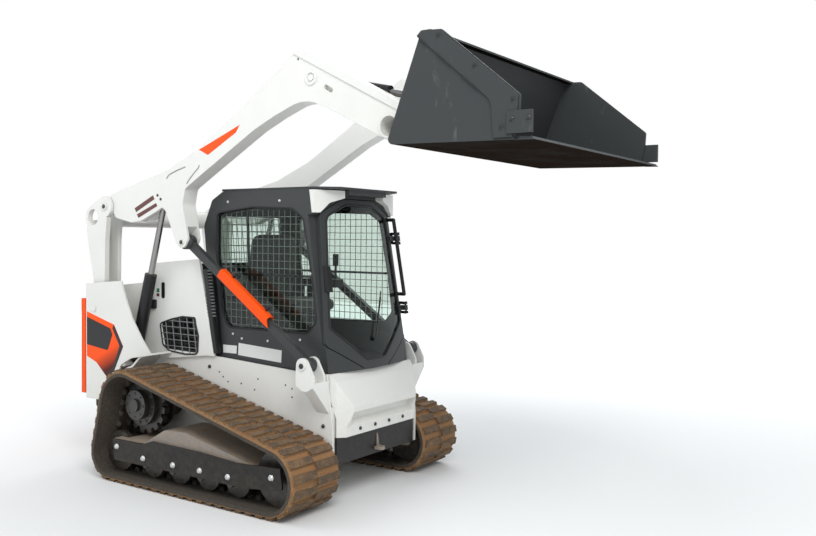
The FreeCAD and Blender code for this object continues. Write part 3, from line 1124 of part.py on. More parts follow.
def make_seat():
    """Seat on its base between two armrests, each with a control stick."""
    write("seat_base", [box(700, 1080, -BACKREST_HALF, BACKREST_HALF, SEAT_FLOOR_Z + SEAT, SEAT_BASE_Z)])
    low = SEAT_BASE_Z + SEAT
    cushion = prism([(690, low, 30), (1150, low, 40), (1150, CUSHION_TOP - 10, 50), (1000, CUSHION_TOP, 60),
                     (690, CUSHION_TOP - 30, 30)], -CUSHION_HALF, CUSHION_HALF)
    back = prism([(700, CUSHION_TOP - 38, 0), (640, BACKREST_TOP - 10, 30), (720, BACKREST_TOP, 30),
                  (810, CUSHION_TOP, 0)], -BACKREST_HALF, BACKREST_HALF)
    write("seat", [fuse([cushion, back])])
    sides = []
    sticks = []
    for side in (-1, 1):
        y0, y1 = sorted((side * ARMREST_INNER, side * ARMREST_OUTER))
        sides.append(fuse([box(780, 1100, y0, y1, ARMREST_LOW, ARMREST_TOP),
                           box(820, 900, y0, y1, SEAT_FLOOR_Z + SEAT, ARMREST_LOW)]))
        y = (y0 + y1) / 2
        grip = ARMREST_TOP + 100
        sticks.append(fuse([post(1060, y, 9, ARMREST_TOP + SEAT, grip + 20), post(1060, y, 22, grip, grip + 90)]))
    write("armrests", sides)
    write("levers", sticks)


HOOD_ROWS = [(TOWER_REAR_X, 1320, 0), (-142, 1375, 60), (10, 1500, 60), (470, 1540, 0), (470, 1524, 0),
             (14, 1484, 60), (-136, 1359, 60), (TOWER_REAR_X, 1304, 0)]
ENGINE_HALF = 290.0
ENGINE_ROWS = [(-400, 408, 0), (-255, 307, 0), (80, 247, 0), (400, 247, 0), (400, 1150, 0), (-400, 1150, 0)]


def make_body():
    """Hood over the plain engine block, tailgate with its louvres and lamps, and the bumper under it."""
    write("engine_hood", [prism(HOOD_ROWS, -FRAME_HALF + SEAT, FRAME_HALF - SEAT)])
    write("engine_block", [prism(ENGINE_ROWS, -ENGINE_HALF, ENGINE_HALF)])
    skin_x = TAIL_X + GATE_SKIN
    gate_x = TAIL_X + TAILGATE_THICK
    gate = box(TAIL_X, gate_x, -TOWER_OUTER, TOWER_OUTER, TAILGATE_LOW, TAILGATE_TOP)
    rim_half = TOWER_OUTER - GATE_RIM
    vent_half = TOWER_OUTER - GATE_VENT_MARGIN
    gate = gate.cut(box(skin_x, gate_x + 1, -rim_half, rim_half, TAILGATE_LOW + GATE_RIM, TAILGATE_TOP - GATE_RIM))
    gate = gate.cut(box(TAIL_X - 1, skin_x + 1, -vent_half, vent_half, GATE_VENT_LOW, GATE_VENT_TOP))
    lamps = []
    for side in (-1, 1):
        outer = TOWER_OUTER - LAMP_MARGIN
        y0, y1 = sorted((side * (outer - LAMP_WIDTH), side * outer))
        gate = gate.cut(box(TAIL_X - 1, skin_x + 1, y0 - SEAT, y1 + SEAT, LAMP_LOW - SEAT, LAMP_TOP + SEAT))
        lamps.append(box(TAIL_X + 2, skin_x, y0, y1, LAMP_LOW, LAMP_TOP))
    pieces = [gate]
    x, y = GATE_HINGE
    for z in GATE_HINGE_Z:
        leaf = box(TAIL_X + 4, x, TOWER_OUTER - 4, y, z - 17, z + 17)
        leaf = leaf.fuse(post(x, y, GATE_KNUCKLE_R, z - 17, z + 17))
        pieces.append(leaf.cut(post(x, y, GATE_PIN_R + RUN, z - 18, z + 18)))
    write("tailgate", [fuse(pieces)])
    bars = []
    pitch = (GATE_VENT_TOP - GATE_VENT_LOW) / GATE_LOUVRES
    for i in range(GATE_LOUVRES):
        z = GATE_VENT_LOW + (i + 0.5) * pitch
        bars.append(prism([(TAIL_X + 4, z - 8, 0), (TAIL_X + 18, z + 4, 0), (TAIL_X + 18, z + 16, 0),
                           (TAIL_X + 4, z + 4, 0)], -vent_half + SEAT, vent_half - SEAT))
    for share in (-0.5, 0.0, 0.5):
        y = share * vent_half
        bars.append(box(TAIL_X + 12, skin_x, y - 8, y + 8, GATE_VENT_LOW + SEAT, GATE_VENT_TOP - SEAT))
    write("tailgate_grille", [fuse(bars)])
    write("tail_lamps", lamps)
    bumper_half = TOWER_OUTER - 130
    bumper = [(TAIL_X, TAIL_LOW - 5, 20), (TAIL_X, BUMPER_TOP, 10), (TOWER_REAR_X - SEAT, BUMPER_TOP, 0),
              (TOWER_REAR_X - SEAT, TAIL_LOW - 5, 0)]
    write("rear_bumper", [prism(bumper, -bumper_half, bumper_half)])


PIVOTS = (("control_foot", CONTROL_FOOT[0], 0, CONTROL_FOOT[1]), ("arm_heel", ARM_HEEL[0], 0, ARM_HEEL[1]),
          ("link_head", LINK_HEAD[0], 0, LINK_HEAD[1]), ("lift_foot", LIFT_FOOT[0], 0, LIFT_FOOT[1]),
          ("lift_eye", LIFT_EYE[0], 0, LIFT_EYE[1]), ("tilt_foot", TILT_FOOT[0], 0, TILT_FOOT[1]),
          ("tilt_eye", TILT_EYE[0], 0, TILT_EYE[1]), ("bucket_pivot", BUCKET_PIVOT[0], 0, BUCKET_PIVOT[1]),
          ("door_hinge", door_edge(HINGE_MID).x, HINGE_Y, HINGE_MID), ("gate_hinge", GATE_HINGE[0], GATE_HINGE[1], 890),
          ("tow_eye", TOW_HOLE[0], 0, TOW_HOLE[1]))
for name, x, y, z in PIVOTS:
    print("pivot", name, round(x - MIDDLE_X, 3), y, z)

make_tracks()
make_undercarriage()
make_drives()
make_frame()
make_front()
make_towers()
make_links()
make_arms()
make_control_links()
make_brackets()
make_cylinders()
make_bucket()
make_coupler()
make_cab()
make_door()
make_roof()
make_seat()
make_body()
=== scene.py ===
# Compact track loader with raised arms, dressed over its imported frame. Metres, X forward, Y left, Z up.
import bpy
import math
import numpy as np
from mathutils import Matrix, Vector


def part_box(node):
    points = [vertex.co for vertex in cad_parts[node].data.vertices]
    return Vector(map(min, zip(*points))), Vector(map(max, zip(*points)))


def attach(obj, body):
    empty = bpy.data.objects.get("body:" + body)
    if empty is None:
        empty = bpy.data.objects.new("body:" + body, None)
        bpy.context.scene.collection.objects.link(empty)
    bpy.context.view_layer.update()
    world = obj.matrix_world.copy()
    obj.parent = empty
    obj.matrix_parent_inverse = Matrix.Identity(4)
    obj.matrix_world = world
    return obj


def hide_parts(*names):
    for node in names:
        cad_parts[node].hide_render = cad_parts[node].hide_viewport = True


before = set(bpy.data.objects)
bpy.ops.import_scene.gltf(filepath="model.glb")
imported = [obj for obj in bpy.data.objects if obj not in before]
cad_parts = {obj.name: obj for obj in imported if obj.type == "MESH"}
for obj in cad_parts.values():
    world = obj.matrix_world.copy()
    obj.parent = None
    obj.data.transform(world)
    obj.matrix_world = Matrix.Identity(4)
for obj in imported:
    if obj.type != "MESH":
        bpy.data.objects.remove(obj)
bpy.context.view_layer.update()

# The photographer's camera
# Its place, heading, tilt and lens were solved from the machine's known corners.
CAMERA_AT = (3.8965, -4.855, 1.726)
HEADING, TILT, ROLL = math.radians(34.26), math.radians(1.86), math.radians(0.56)
LENS = 881.9 * 36.0 / 816.0


def aim(heading, tilt, roll):
    """Camera axes: the view line from heading and tilt, the right and up lines turned about it by roll."""
    view = Vector((-math.sin(heading) * math.cos(tilt), math.cos(heading) * math.cos(tilt), -math.sin(tilt)))
    right = view.cross(Vector((0, 0, 1))).normalized()
    up = right.cross(view)
    level_right = math.cos(roll) * right + math.sin(roll) * up
    level_up = -math.sin(roll) * right + math.cos(roll) * up
    return Matrix((level_right, level_up, -view)).transposed()


camera = bpy.data.objects.new("camera", bpy.data.cameras.new("camera"))
camera.data.lens = LENS
camera.data.sensor_width = 36.0
camera.data.clip_end = 100.0
camera.matrix_world = Matrix.Translation(CAMERA_AT) @ aim(HEADING, TILT, ROLL).to_4x4()
bpy.context.scene.collection.objects.link(camera)
bpy.context.scene.camera = camera
bpy.context.scene.view_settings.view_transform = "Standard"


# Studio: a pale floor with a painted glow, an even sky that looks white to the camera, and three large soft lamps
# The pale look comes from the floor's own colour near the machine and from its painted glow farther out, and the lamps
# stay low enough to keep the white paint's shape.
def surface(name, points, closed_u=False, closed_v=False):
    """Mesh of grids of points with shape (..., rows, columns, 3): one quad between each four neighbours of a grid."""
    points = points.reshape((-1,) + points.shape[-3:])
    count, rows, columns = points.shape[:3]
    index = np.arange(rows * columns).reshape(rows, columns)
    if closed_u:
        index = np.concatenate([index, index[:1]], axis=0)
    if closed_v:
        index = np.concatenate([index, index[:, :1]], axis=1)
    quads = np.stack([index[:-1, :-1], index[1:, :-1], index[1:, 1:], index[:-1, 1:]], axis=-1).reshape(-1, 4)
    quads = (quads[None] + np.arange(count)[:, None, None] * rows * columns).reshape(-1, 4)
    mesh = bpy.data.meshes.new(name)
    mesh.vertices.add(count * rows * columns)
    mesh.vertices.foreach_set("co", points.reshape(-1).astype(np.float32))
    mesh.loops.add(quads.size)
    mesh.loops.foreach_set("vertex_index", quads.reshape(-1).astype(np.int32))
    mesh.polygons.add(len(quads))
    mesh.polygons.foreach_set("loop_start", np.arange(0, quads.size, 4, dtype=np.int32))
    mesh.update(calc_edges=True)
    mesh.validate()
    return mesh


def place(name, mesh, material, body=None, smooth=False):
    """Object of a finished mesh at the origin, with its material, riding on a body of the frame."""
    piece = bpy.data.objects.new(name, mesh)
    bpy.context.scene.collection.objects.link(piece)
    mesh.materials.append(material)
    if smooth:
        mesh.polygons.foreach_set("use_smooth", np.ones(len(mesh.polygons), bool))
    if body:
        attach(piece, body)
    return piece


class Nodes:
    """Short way to write a material: add a node, set its sockets, link it. A key n3 means the socket's place."""

    def __init__(self, name):
        self.material = bpy.data.materials.new(name)
        self.material.use_nodes = True
        self.tree = self.material.node_tree
        self.shader = self.tree.nodes["Principled BSDF"]

    def add(self, kind, settings=None, **inputs):
        node = self.tree.nodes.new(kind)
        for key, value in (settings or {}).items():
            setattr(node, key, value)
        for key, value in inputs.items():
            self.feed(node, key.replace("_", " "), value)
        return node

    def feed(self, node, key, value):
        socket = node.inputs[int(key[1:])] if key[:1] == "n" and key[1:].isdigit() else node.inputs[key]
        if isinstance(value, bpy.types.NodeSocket):
            self.tree.links.new(value, socket)
        else:
            socket.default_value = value

    def set(self, **inputs):
        for key, value in inputs.items():
            self.feed(self.shader, key.replace("_", " "), value)
        return self

    def noise(self, scale, detail=6.0, roughness=0.6, stretch=None):
        """Noise of the object's own coordinates, stretched along the axes by three factors where given."""
        at = self.add("ShaderNodeTexCoord").outputs["Object"]
        if stretch:
            at = self.add("ShaderNodeMapping", Vector=at, Scale=stretch).outputs[0]
        return self.add("ShaderNodeTexNoise", Vector=at, Scale=scale, Detail=detail, Roughness=roughness).outputs["Fac"]

    def ramp(self, value, low, high, start=0.0, end=1.0):
        return self.add("ShaderNodeMapRange", n0=value, n1=low, n2=high, n3=start, n4=end).outputs[0]

    def math(self, operation, a, b):
        return self.add("ShaderNodeMath", {"operation": operation, "use_clamp": operation != "SUBTRACT"}, n0=a, n1=b).outputs[0]

    def mix(self, share, a, b):
        return self.add("ShaderNodeMix", {"data_type": "RGBA"}, n0=share, n6=a, n7=b).outputs[2]


floor_material = Nodes("studio_floor")
spot = floor_material.add("ShaderNodeTexCoord").outputs["Object"]
reach = floor_material.add("ShaderNodeVectorMath", {"operation": "LENGTH"}, n0=spot).outputs["Value"]
# Painted glow: the floor's emission rises from 0 at 2.5 m to 0.75 at 12 m from the centre, so its far part fades into
# the white sky.
floor_material.set(Base_Color=(0.80, 0.80, 0.79, 1), Roughness=0.9, Emission_Color=(1, 1, 1, 1),
                   Emission_Strength=floor_material.ramp(reach, 2.5, 12.0, 0.0, 0.75))
u, v = np.meshgrid(np.linspace(-14, 14, 15), np.linspace(-14, 14, 15), indexing="ij")
floor = place("floor", surface("floor", np.stack([u, v, np.zeros_like(u)], axis=-1)), floor_material.material)

world = bpy.data.worlds.new("studio")
world.use_nodes = True
sky = world.node_tree
backdrop = sky.nodes["Background"]
backdrop.inputs["Color"].default_value = (1, 1, 1, 1)
backdrop.inputs["Strength"].default_value = 1.0
daylight = sky.nodes.new("ShaderNodeBackground")
daylight.inputs["Color"].default_value = (0.90, 0.95, 1.0, 1)
daylight.inputs["Strength"].default_value = 0.70
rays = sky.nodes.new("ShaderNodeLightPath")
seen = sky.nodes.new("ShaderNodeMath")
seen.operation = "MAXIMUM"
either = sky.nodes.new("ShaderNodeMixShader")
sky.links.new(rays.outputs["Is Camera Ray"], seen.inputs[0])
sky.links.new(rays.outputs["Is Transmission Ray"], seen.inputs[1])
sky.links.new(seen.outputs[0], either.inputs[0])
sky.links.new(daylight.outputs[0], either.inputs[1])
sky.links.new(backdrop.outputs[0], either.inputs[2])
sky.links.new(either.outputs[0], sky.nodes["World Output"].inputs[0])
bpy.context.scene.world = world
for name, spot, size, power, target in (("key", (4.4, -4.2, 6.4), 3.5, 370.0, (0, 0, 1.2)),
                                        ("fill", (-5.5, -3.5, 4.5), 5.0, 120.0, (0, 0, 1.0)),
                                        ("back", (-2.5, 6.0, 5.5), 5.0, 190.0, (0, 0, 1.4))):
    lamp = bpy.data.objects.new(name, bpy.data.lights.new(name, "AREA"))
    lamp.data.size = size
    lamp.data.energy = power
    lamp.location = spot
    lamp.rotation_euler = (Vector(target) - Vector(spot)).to_track_quat("-Z", "Y").to_euler()
    bpy.context.scene.collection.objects.link(lamp)


# Painted steel of the machine's own colours, and the shapes that small parts are made of
# Sprayed satin paint over plate: a faint orange peel, dust on low and upward faces, and softened edges; where asked,
# downward faces are darkened, partly as soil and partly as painted shade.
DUST = (0.42, 0.30, 0.19, 1)
MIDDLE_X = 1347.5


def at(rows):
    """Millimetres from the rear of the ground contact, as metres in the frame."""
    return (np.asarray(rows, float) - (MIDDLE_X, 0, 0)) / 1000


def paint(name, colour, roughness=0.38, dust=0.35, top=0.9, coat=0.10, fleck=0.10, wear=0.0, mirror=0.4,
          underside_soil_shade=0.0):
    """Paint: its colour varied by large noise, dust by height and finer noise, bare patches, rounded edges, and
    downward faces darkened as soil and painted shade where asked.
    """
    m = Nodes(name)
    broad = m.noise(3.0)
    fine = m.noise(26.0, 8.0, 0.7)
    spot = m.add("ShaderNodeTexCoord").outputs["Object"]
    height = m.add("ShaderNodeSeparateXYZ", Vector=spot).outputs["Z"]
    low = m.ramp(height, top, 0.15)
    patch = m.ramp(fine, 0.38, 0.66)
    facing = m.add("ShaderNodeSeparateXYZ", Vector=m.add("ShaderNodeNewGeometry").outputs["Normal"]).outputs["Z"]
    lying = m.math("MULTIPLY", m.ramp(facing, 0.35, 0.95), m.ramp(broad, 0.30, 0.62, 0.2, 1.0))
    share = m.math("MULTIPLY", m.math("ADD", m.math("MULTIPLY", low, patch), m.math("MULTIPLY", lying, 0.5)), dust)
    share = m.math("ADD", share, m.ramp(fine, 0.64, 0.80, 0.0, fleck))
    darker = tuple(c * 0.86 for c in colour[:3]) + (1,)
    base = m.mix(broad, darker, tuple(colour[:3]) + (1,))
    if wear:
        base = m.mix(m.ramp(m.noise(9.0, 10.0, 0.72, (1, 1, 0.35)), 0.62, 0.70, 0.0, wear), base, (0.22, 0.20, 0.185, 1))
    # Downward faces turn near-black, partly soil and partly painted shade, and their specular level falls to 0.
    if underside_soil_shade:
        base = m.mix(m.math("MULTIPLY", m.ramp(facing, -0.3, -0.8), m.ramp(broad, 0.2, 0.5, 0.6 * underside_soil_shade, underside_soil_shade)), base,
                     (0.016, 0.011, 0.008, 1))
        mirror = m.ramp(facing, -0.3, -0.8, mirror, 0.0)
    bump = m.add("ShaderNodeBump", Height=fine, Strength=0.12, Distance=0.004)
    m.feed(bump, "Normal", m.add("ShaderNodeBevel", {"samples": 4}, Radius=0.004).outputs[0])
    m.set(Base_Color=m.mix(share, base, DUST), Roughness=m.ramp(share, 0.0, 0.6, roughness, 0.85),
          Normal=bump.outputs[0], Coat_Weight=coat, Coat_Roughness=0.25, Specular_IOR_Level=mirror)
    return m.material


WHITE = paint("white_paint", (0.78, 0.775, 0.735), roughness=0.34, dust=0.28, top=0.75, fleck=0.04)
CHARCOAL = paint("charcoal_paint", (0.036, 0.039, 0.040), roughness=0.45, dust=0.05, top=1.0, fleck=0.015, coat=0.0)
ORANGE = paint("orange_paint", (0.93, 0.085, 0.002), roughness=0.42, dust=0.06, top=0.8, fleck=0.01, coat=0.0, mirror=0.2)
BLACK = paint("black_paint", (0.008, 0.008, 0.009), roughness=0.40, dust=0.06, top=0.8, fleck=0.015, coat=0.0)
GUARD_BLACK = paint("guard_paint", (0.007, 0.0065, 0.006), roughness=0.5, dust=0.09, top=0.45, coat=0.0, fleck=0.02)
# The bucket's downward faces are darkened, partly as soil and partly as painted shade.
BUCKET_GREY = paint("bucket_paint", (0.045, 0.049, 0.050), roughness=0.5, dust=0.05, top=2.3, fleck=0.03, coat=0.0, wear=0.25,
                    mirror=0.25, underside_soil_shade=0.95)
DUSTY_STEEL = paint("dusty_steel", (0.24, 0.225, 0.21), roughness=0.6, dust=0.75, top=0.9, coat=0.0, fleck=0.2)
GREASY_STEEL = paint("greasy_steel", (0.022, 0.021, 0.020), roughness=0.30, dust=0.14, top=0.7, coat=0.3, wear=0.3, fleck=0.05)
# Painted highlight: the strip's ribs are black rubber, drawn grey so that their tops show.
RIB_HIGHLIGHT_GREY = paint("rib_painted_highlight", (0.15, 0.15, 0.145), roughness=0.45, dust=0.05, coat=0.0, fleck=0.02)
PLASTIC = paint("moulded_black", (0.018, 0.018, 0.019), roughness=0.55, dust=0.05, coat=0.0, fleck=0.02)


def metal(name, colour, roughness):
    m = Nodes(name)
    streak = m.noise(40.0, 4.0, 0.6, (1, 1, 6))
    m.set(Base_Color=colour + (1,), Metallic=1.0, Roughness=m.ramp(streak, 0.3, 0.7, roughness * 0.8, roughness * 1.25))
    return m.material


CHROME = metal("hard_chrome", (0.30, 0.29, 0.28), 0.18)
ZINC = metal("zinc_bolts", (0.66, 0.66, 0.65), 0.34)
# Painted shade: holes and slots are thin dark discs and lines on the surface, standing for their shaded insides.
HOLE_SHADE = Nodes("hole_painted_shade").set(Base_Color=(0.02, 0.02, 0.02, 1), Roughness=0.8).material
GASKET = Nodes("seal_rubber").set(Base_Color=(0.010, 0.010, 0.011, 1), Roughness=0.6).material
BLANK = Nodes("blank_plate").set(Base_Color=(0.70, 0.70, 0.68, 1), Roughness=0.45).material
MAROON = Nodes("maroon_label").set(Base_Color=(0.10, 0.022, 0.018, 1), Roughness=0.4).material
GREEN = Nodes("green_mark").set(Base_Color=(0.02, 0.16, 0.08, 1), Roughness=0.4).material


def dress(material, *nodes):
    for node in nodes:
        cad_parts[node].data.materials.clear()
        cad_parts[node].data.materials.append(material)


def lathe(name, centres, axis, profile, sides=12):
    """Turned shape at each centre: its profile of (radius, height) rows carried round the axis."""
    axis = np.asarray(axis, float)
    side = np.cross(axis, (0, 0, 1) if abs(axis[2]) < 0.9 else (1, 0, 0))
    side /= np.linalg.norm(side)
    other = np.cross(axis, side)
    radius, height = np.asarray(profile, float).T[:, None, :, None, None]
    angle = np.linspace(0, 2 * np.pi, sides, endpoint=False)[None, None, :, None]
    grid = radius * (np.cos(angle) * side + np.sin(angle) * other) + height * axis
    return surface(name, np.asarray(centres, float)[:, None, None, :] + grid, closed_v=True)


def bolts(name, centres, axis, size, body, material=None):
    """Hexagon bolt heads with a washer: six sides, a chamfered crown, seated on their plate."""
    rows = [(size * 1.25, 0), (size * 1.25, size * 0.18), (size, size * 0.18), (size, size * 0.7),
            (size * 0.8, size * 0.85), (0, size * 0.85)]
    return place(name, lathe(name, centres, axis, rows, 6), material or ZINC, body)


def both(rows):
    """The same points on the machine's right side and, mirrored, on its left."""
    rows = np.asarray(rows, float)
    return rows * (1, -1, 1), rows


def tube(name, path, radius, sides=8, closed=False, across=(0, 1, 0), ripple=0.0, pitch=0.012):
    """Round section carried along a path; a ripple makes its radius swell and fall with the length, as welds do."""
    path = np.asarray(path, float)
    tangent = np.roll(path, -1, 0) - np.roll(path, 1, 0) if closed else np.gradient(path, axis=0)
    tangent /= np.linalg.norm(tangent, axis=1, keepdims=True)
    side = np.cross(tangent, across)
    side /= np.linalg.norm(side, axis=1, keepdims=True)
    other = np.cross(side, tangent)
    along = np.concatenate([[0], np.cumsum(np.linalg.norm(np.diff(path, axis=0), axis=1))])
    swell = radius * (1 + ripple * np.sin(2 * np.pi * along / pitch))
    if not closed:
        swell[[0, -1]] = 1e-5
    angle = np.linspace(0, 2 * np.pi, sides, endpoint=False)[None, :, None]
    grid = np.cos(angle) * side[:, None] + np.sin(angle) * other[:, None]
    return surface(name, path[:, None] + swell[:, None, None] * grid, closed_u=closed, closed_v=True)


def rounded(rows, steps=7):
    """Outline (x, z, radius) in millimetres as points: each corner becomes an arc between its two tangent points."""
    points = []
    for i, (x, z, radius) in enumerate(rows):
        here = np.array((x, z), float)
        back = np.array(rows[i - 1][:2], float) - here
        ahead = np.array(rows[(i + 1) % len(rows)][:2], float) - here
        back /= np.linalg.norm(back)
        ahead /= np.linalg.norm(ahead)
        half = math.acos(max(-1.0, min(1.0, float(back @ ahead)))) / 2
        if radius <= 0 or half > math.pi / 2 - 1e-3:
            points.append(here[None])
            continue
        middle = (back + ahead) / np.linalg.norm(back + ahead)
        centre = here + middle * radius / math.sin(half)
        start = here + back * radius / math.tan(half) - centre
        end = here + ahead * radius / math.tan(half) - centre
        share = np.linspace(0, 1, steps)[:, None]
        arc = start * (1 - share) + end * share
        points.append(centre + radius * arc / np.linalg.norm(arc, axis=1, keepdims=True))
    return np.concatenate(points)


def even(points, step, closed=True):
    """The same path with points at an even step of its length."""
    path = np.concatenate([points, points[:1]]) if closed else points
    along = np.concatenate([[0], np.cumsum(np.linalg.norm(np.diff(path, axis=0), axis=1))])
    stops = np.linspace(0, along[-1], max(4, int(along[-1] / step)), endpoint=not closed)
    return np.stack([np.interp(stops, along, path[:, k]) for k in range(path.shape[1])], axis=1)


def slab(name, outline, y0, y1):
    """Flat plate of an (x, z) outline in millimetres between two Y planes, its two faces one polygon each."""
    outline = np.asarray(outline, float)
    count = len(outline)
    points = [at(np.insert(outline, 1, y, axis=1)) for y in (y0, y1)]
    ring = np.arange(count)
    sides = np.stack([ring, np.roll(ring, -1), np.roll(ring, -1) + count, ring + count], axis=1)
    mesh = bpy.data.meshes.new(name)
    mesh.from_pydata(np.concatenate(points).tolist(), [], [ring[::-1].tolist(), (ring + count).tolist()] + sides.tolist())
    mesh.update()
    return mesh


def stickers(name, outline, y, material, body="chassis", thick=1.2, sides=(-1, 1)):
    """Thin plate or film on the outer face at |y|, on the right and left sides."""
    for side in sides:
        tag = name + ("_right" if side < 0 else "_left")
        place(tag, slab(tag, outline, side * y, side * (y + thick)), material, body)


# Rubber tracks
# Steel-corded rubber loops with two staggered columns of bars; dried clay fills the gaps between the bars.
BELT = np.array([(16, 194, 170), (1542, 234, 210), (178, 538, 242)], float)
TREAD_TOP = 24.0


def tread_height(points):
    """How far each point stands out of the belt's face: over all directions, its reach less the belt's."""
    angle = np.linspace(0, 2 * np.pi, 720, endpoint=False)
    heading = np.stack([np.cos(angle), np.sin(angle)])
    belt = (BELT[:, :2] @ heading + BELT[:, 2:]).max(axis=0)
    return (points[:, [0, 2]] @ heading - belt).max(axis=1)


def belt_path(step):
    """Even path round the belt at an offset from its face: the farthest circle's point for each direction."""
    angle = np.linspace(0, 2 * np.pi, 1440, endpoint=False)
    heading = np.stack([np.cos(angle), np.sin(angle)], axis=1)
    first = (heading @ BELT[:, :2].T + BELT[:, 2]).argmax(axis=1)
    return even(BELT[first, :2] + (BELT[first, 2:] + step) * heading, 4.0)


clay = Nodes("track_rubber")
height = clay.add("ShaderNodeAttribute", {"attribute_name": "tread"}).outputs["Fac"]
lumps = clay.noise(11.0, 9.0, 0.68)
grains = clay.noise(70.0, 6.0, 0.7)
packed = clay.ramp(clay.math("ADD", height, clay.ramp(lumps, 0.3, 0.7, -0.45, 0.45)), 0.70, 0.40)
outer = clay.ramp(height, -0.35, -0.05)
packed = clay.math("MULTIPLY", packed, outer)
film = clay.math("MAXIMUM", clay.math("MULTIPLY", packed, 0.92), clay.ramp(lumps, 0.42, 0.66, 0.10, 0.60))
soil = clay.mix(clay.ramp(grains, 0.35, 0.65), (0.17, 0.095, 0.045, 1), (0.42, 0.26, 0.125, 1))
soil = clay.mix(clay.ramp(clay.noise(2.4), 0.4, 0.62), soil, (0.32, 0.165, 0.066, 1))
# Painted shade: inside the loop, below the belt's face, the soil turns a dark brown.
soil = clay.mix(outer, (0.052, 0.042, 0.034, 1), soil)
rubber = clay.mix(clay.ramp(grains, 0.3, 0.7), (0.024, 0.020, 0.016, 1), (0.095, 0.074, 0.050, 1))
relief = clay.add("ShaderNodeBump", Height=clay.math("ADD", clay.math("MULTIPLY", lumps, 0.7), clay.math("MULTIPLY", grains, 0.3)),
                  Strength=0.75, Distance=0.012)
clay.feed(relief, "Normal", clay.add("ShaderNodeBevel", {"samples": 4}, Radius=0.006).outputs[0])
clay.set(Base_Color=clay.mix(film, rubber, soil), Roughness=0.88, Normal=relief.outputs[0])
for node in ("track_right", "track_left"):
    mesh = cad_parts[node].data.copy()
    mesh.materials.clear()
    track = place("clay_" + node, mesh, clay.material, "chassis")
    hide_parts(node)
    spots = np.empty(len(mesh.vertices) * 3, np.float32)
    mesh.vertices.foreach_get("co", spots)
    share = tread_height(spots.reshape(-1, 3) * 1000 + (MIDDLE_X, 0, 0)) / TREAD_TOP
    mesh.attributes.new("tread", "FLOAT", "POINT").data.foreach_set("value", share.astype(np.float32))
GUIDE_COUNT, GUIDE_BELT = 52, 28.0
path = even(belt_path(-GUIDE_BELT), 1.0)
stops = (np.arange(GUIDE_COUNT) * len(path) / GUIDE_COUNT).astype(int)
tangent = path[(stops + 1) % len(path)] - path[stops]
tangent /= np.linalg.norm(tangent, axis=1, keepdims=True)
inward = np.stack([-tangent[:, 1], tangent[:, 0]], axis=1)
if np.dot(inward[0], BELT[:, :2].mean(axis=0) - path[stops[0]]) < 0:
    inward = -inward
for tag, side in (("right", -1), ("left", 1)):
    blocks = []
    for y in (715 - 43, 715 + 43):
        rows = []
        for half_x, half_y, depth in ((24, 14, -2), (15, 11, 30), (0, 0, 30)):
            corner = [path[stops] + a * half_x * tangent + depth * inward for a in (-1, 1, 1, -1)]
            width = [side * (y + b * half_y) for b in (-1, -1, 1, 1)]
            rows.append(np.stack([np.insert(c, 1, w, axis=1) for c, w in zip(corner, width)], axis=1))
        blocks.append(np.stack(rows, axis=1))
    name = "track_guides_" + tag
    mesh = surface(name, at(np.concatenate(blocks)), closed_v=True)
    # The guides lie inside the loop and take its dark brown of painted shade.
    mesh.attributes.new("tread", "FLOAT", "POINT").data.foreach_set("value", np.full(len(mesh.vertices), -1.0, np.float32))
    place(name, mesh, clay.material, "chassis")

# Track frames with their wheels
# A sloped cover and a rear shelf caked with sand, a black guard with shiny bolts, greasy wheels behind it.
dress(DUSTY_STEEL, "track_frames", "tow_eye")
dress(GUARD_BLACK, "track_guards")
dress(GREASY_STEEL, "rollers", "front_idlers", "rear_idlers", "sprockets", "drive_motors", "drive_hubs", "engine_block")
GUARD_BOLTS = [(92, -907, 250), (372, -907, 205), (674, -907, 205), (931, -907, 208), (1188, -907, 208), (1560, -907, 262)]
for tag, rows in zip(("left", "right"), both(GUARD_BOLTS)):
    bolts("guard_bolts_" + tag, at(rows), (0, np.sign(rows[0][1]), 0), 0.017, "chassis")
angle = np.linspace(0, 2 * np.pi, 12, endpoint=False)
HUB_BOLTS = np.stack([178 + 128 * np.cos(angle), np.full(12, -775), 538 + 128 * np.sin(angle)], axis=1)
for tag, rows in zip(("left", "right"), both(HUB_BOLTS)):
    bolts("hub_bolts_" + tag, at(rows), (0, np.sign(rows[0][1]), 0), 0.010, "chassis", GREASY_STEEL)
angle = np.linspace(0, 2 * np.pi, 8, endpoint=False)
CAP_BOLTS = np.stack([178 + 84 * np.cos(angle), np.full(8, -821), 538 + 84 * np.sin(angle)], axis=1)
for tag, rows in zip(("left", "right"), both(CAP_BOLTS)):
    bolts("hub_cap_bolts_" + tag, at(rows), (0, np.sign(rows[0][1]), 0), 0.007, "chassis", GREASY_STEEL)

# Main frame, front step and rear uprights
# White plate work: rows of bolt holes along the frame's side, bolts on the step's flange, blank stickers.
dress(WHITE, "main_frame", "front_step", "tower_right", "tower_left", "link_brackets")
dress(BLACK, "front_guard", "rear_bumper")
dress(PLASTIC, "side_grilles", "ribbed_strips")
FRAME_HOLES = [(749, -480, 718), (877, -480, 718), (1035, -480, 764), (1344, -480, 729), (1286, -480, 748),
               (1004, -480, 688), (662, -480, 779), (1345, -480, 673), (1480, -480, 700), (700, -480, 748)]
FRAME_BOLTS = [(566, -480, 809), (1614, -480, 515)]
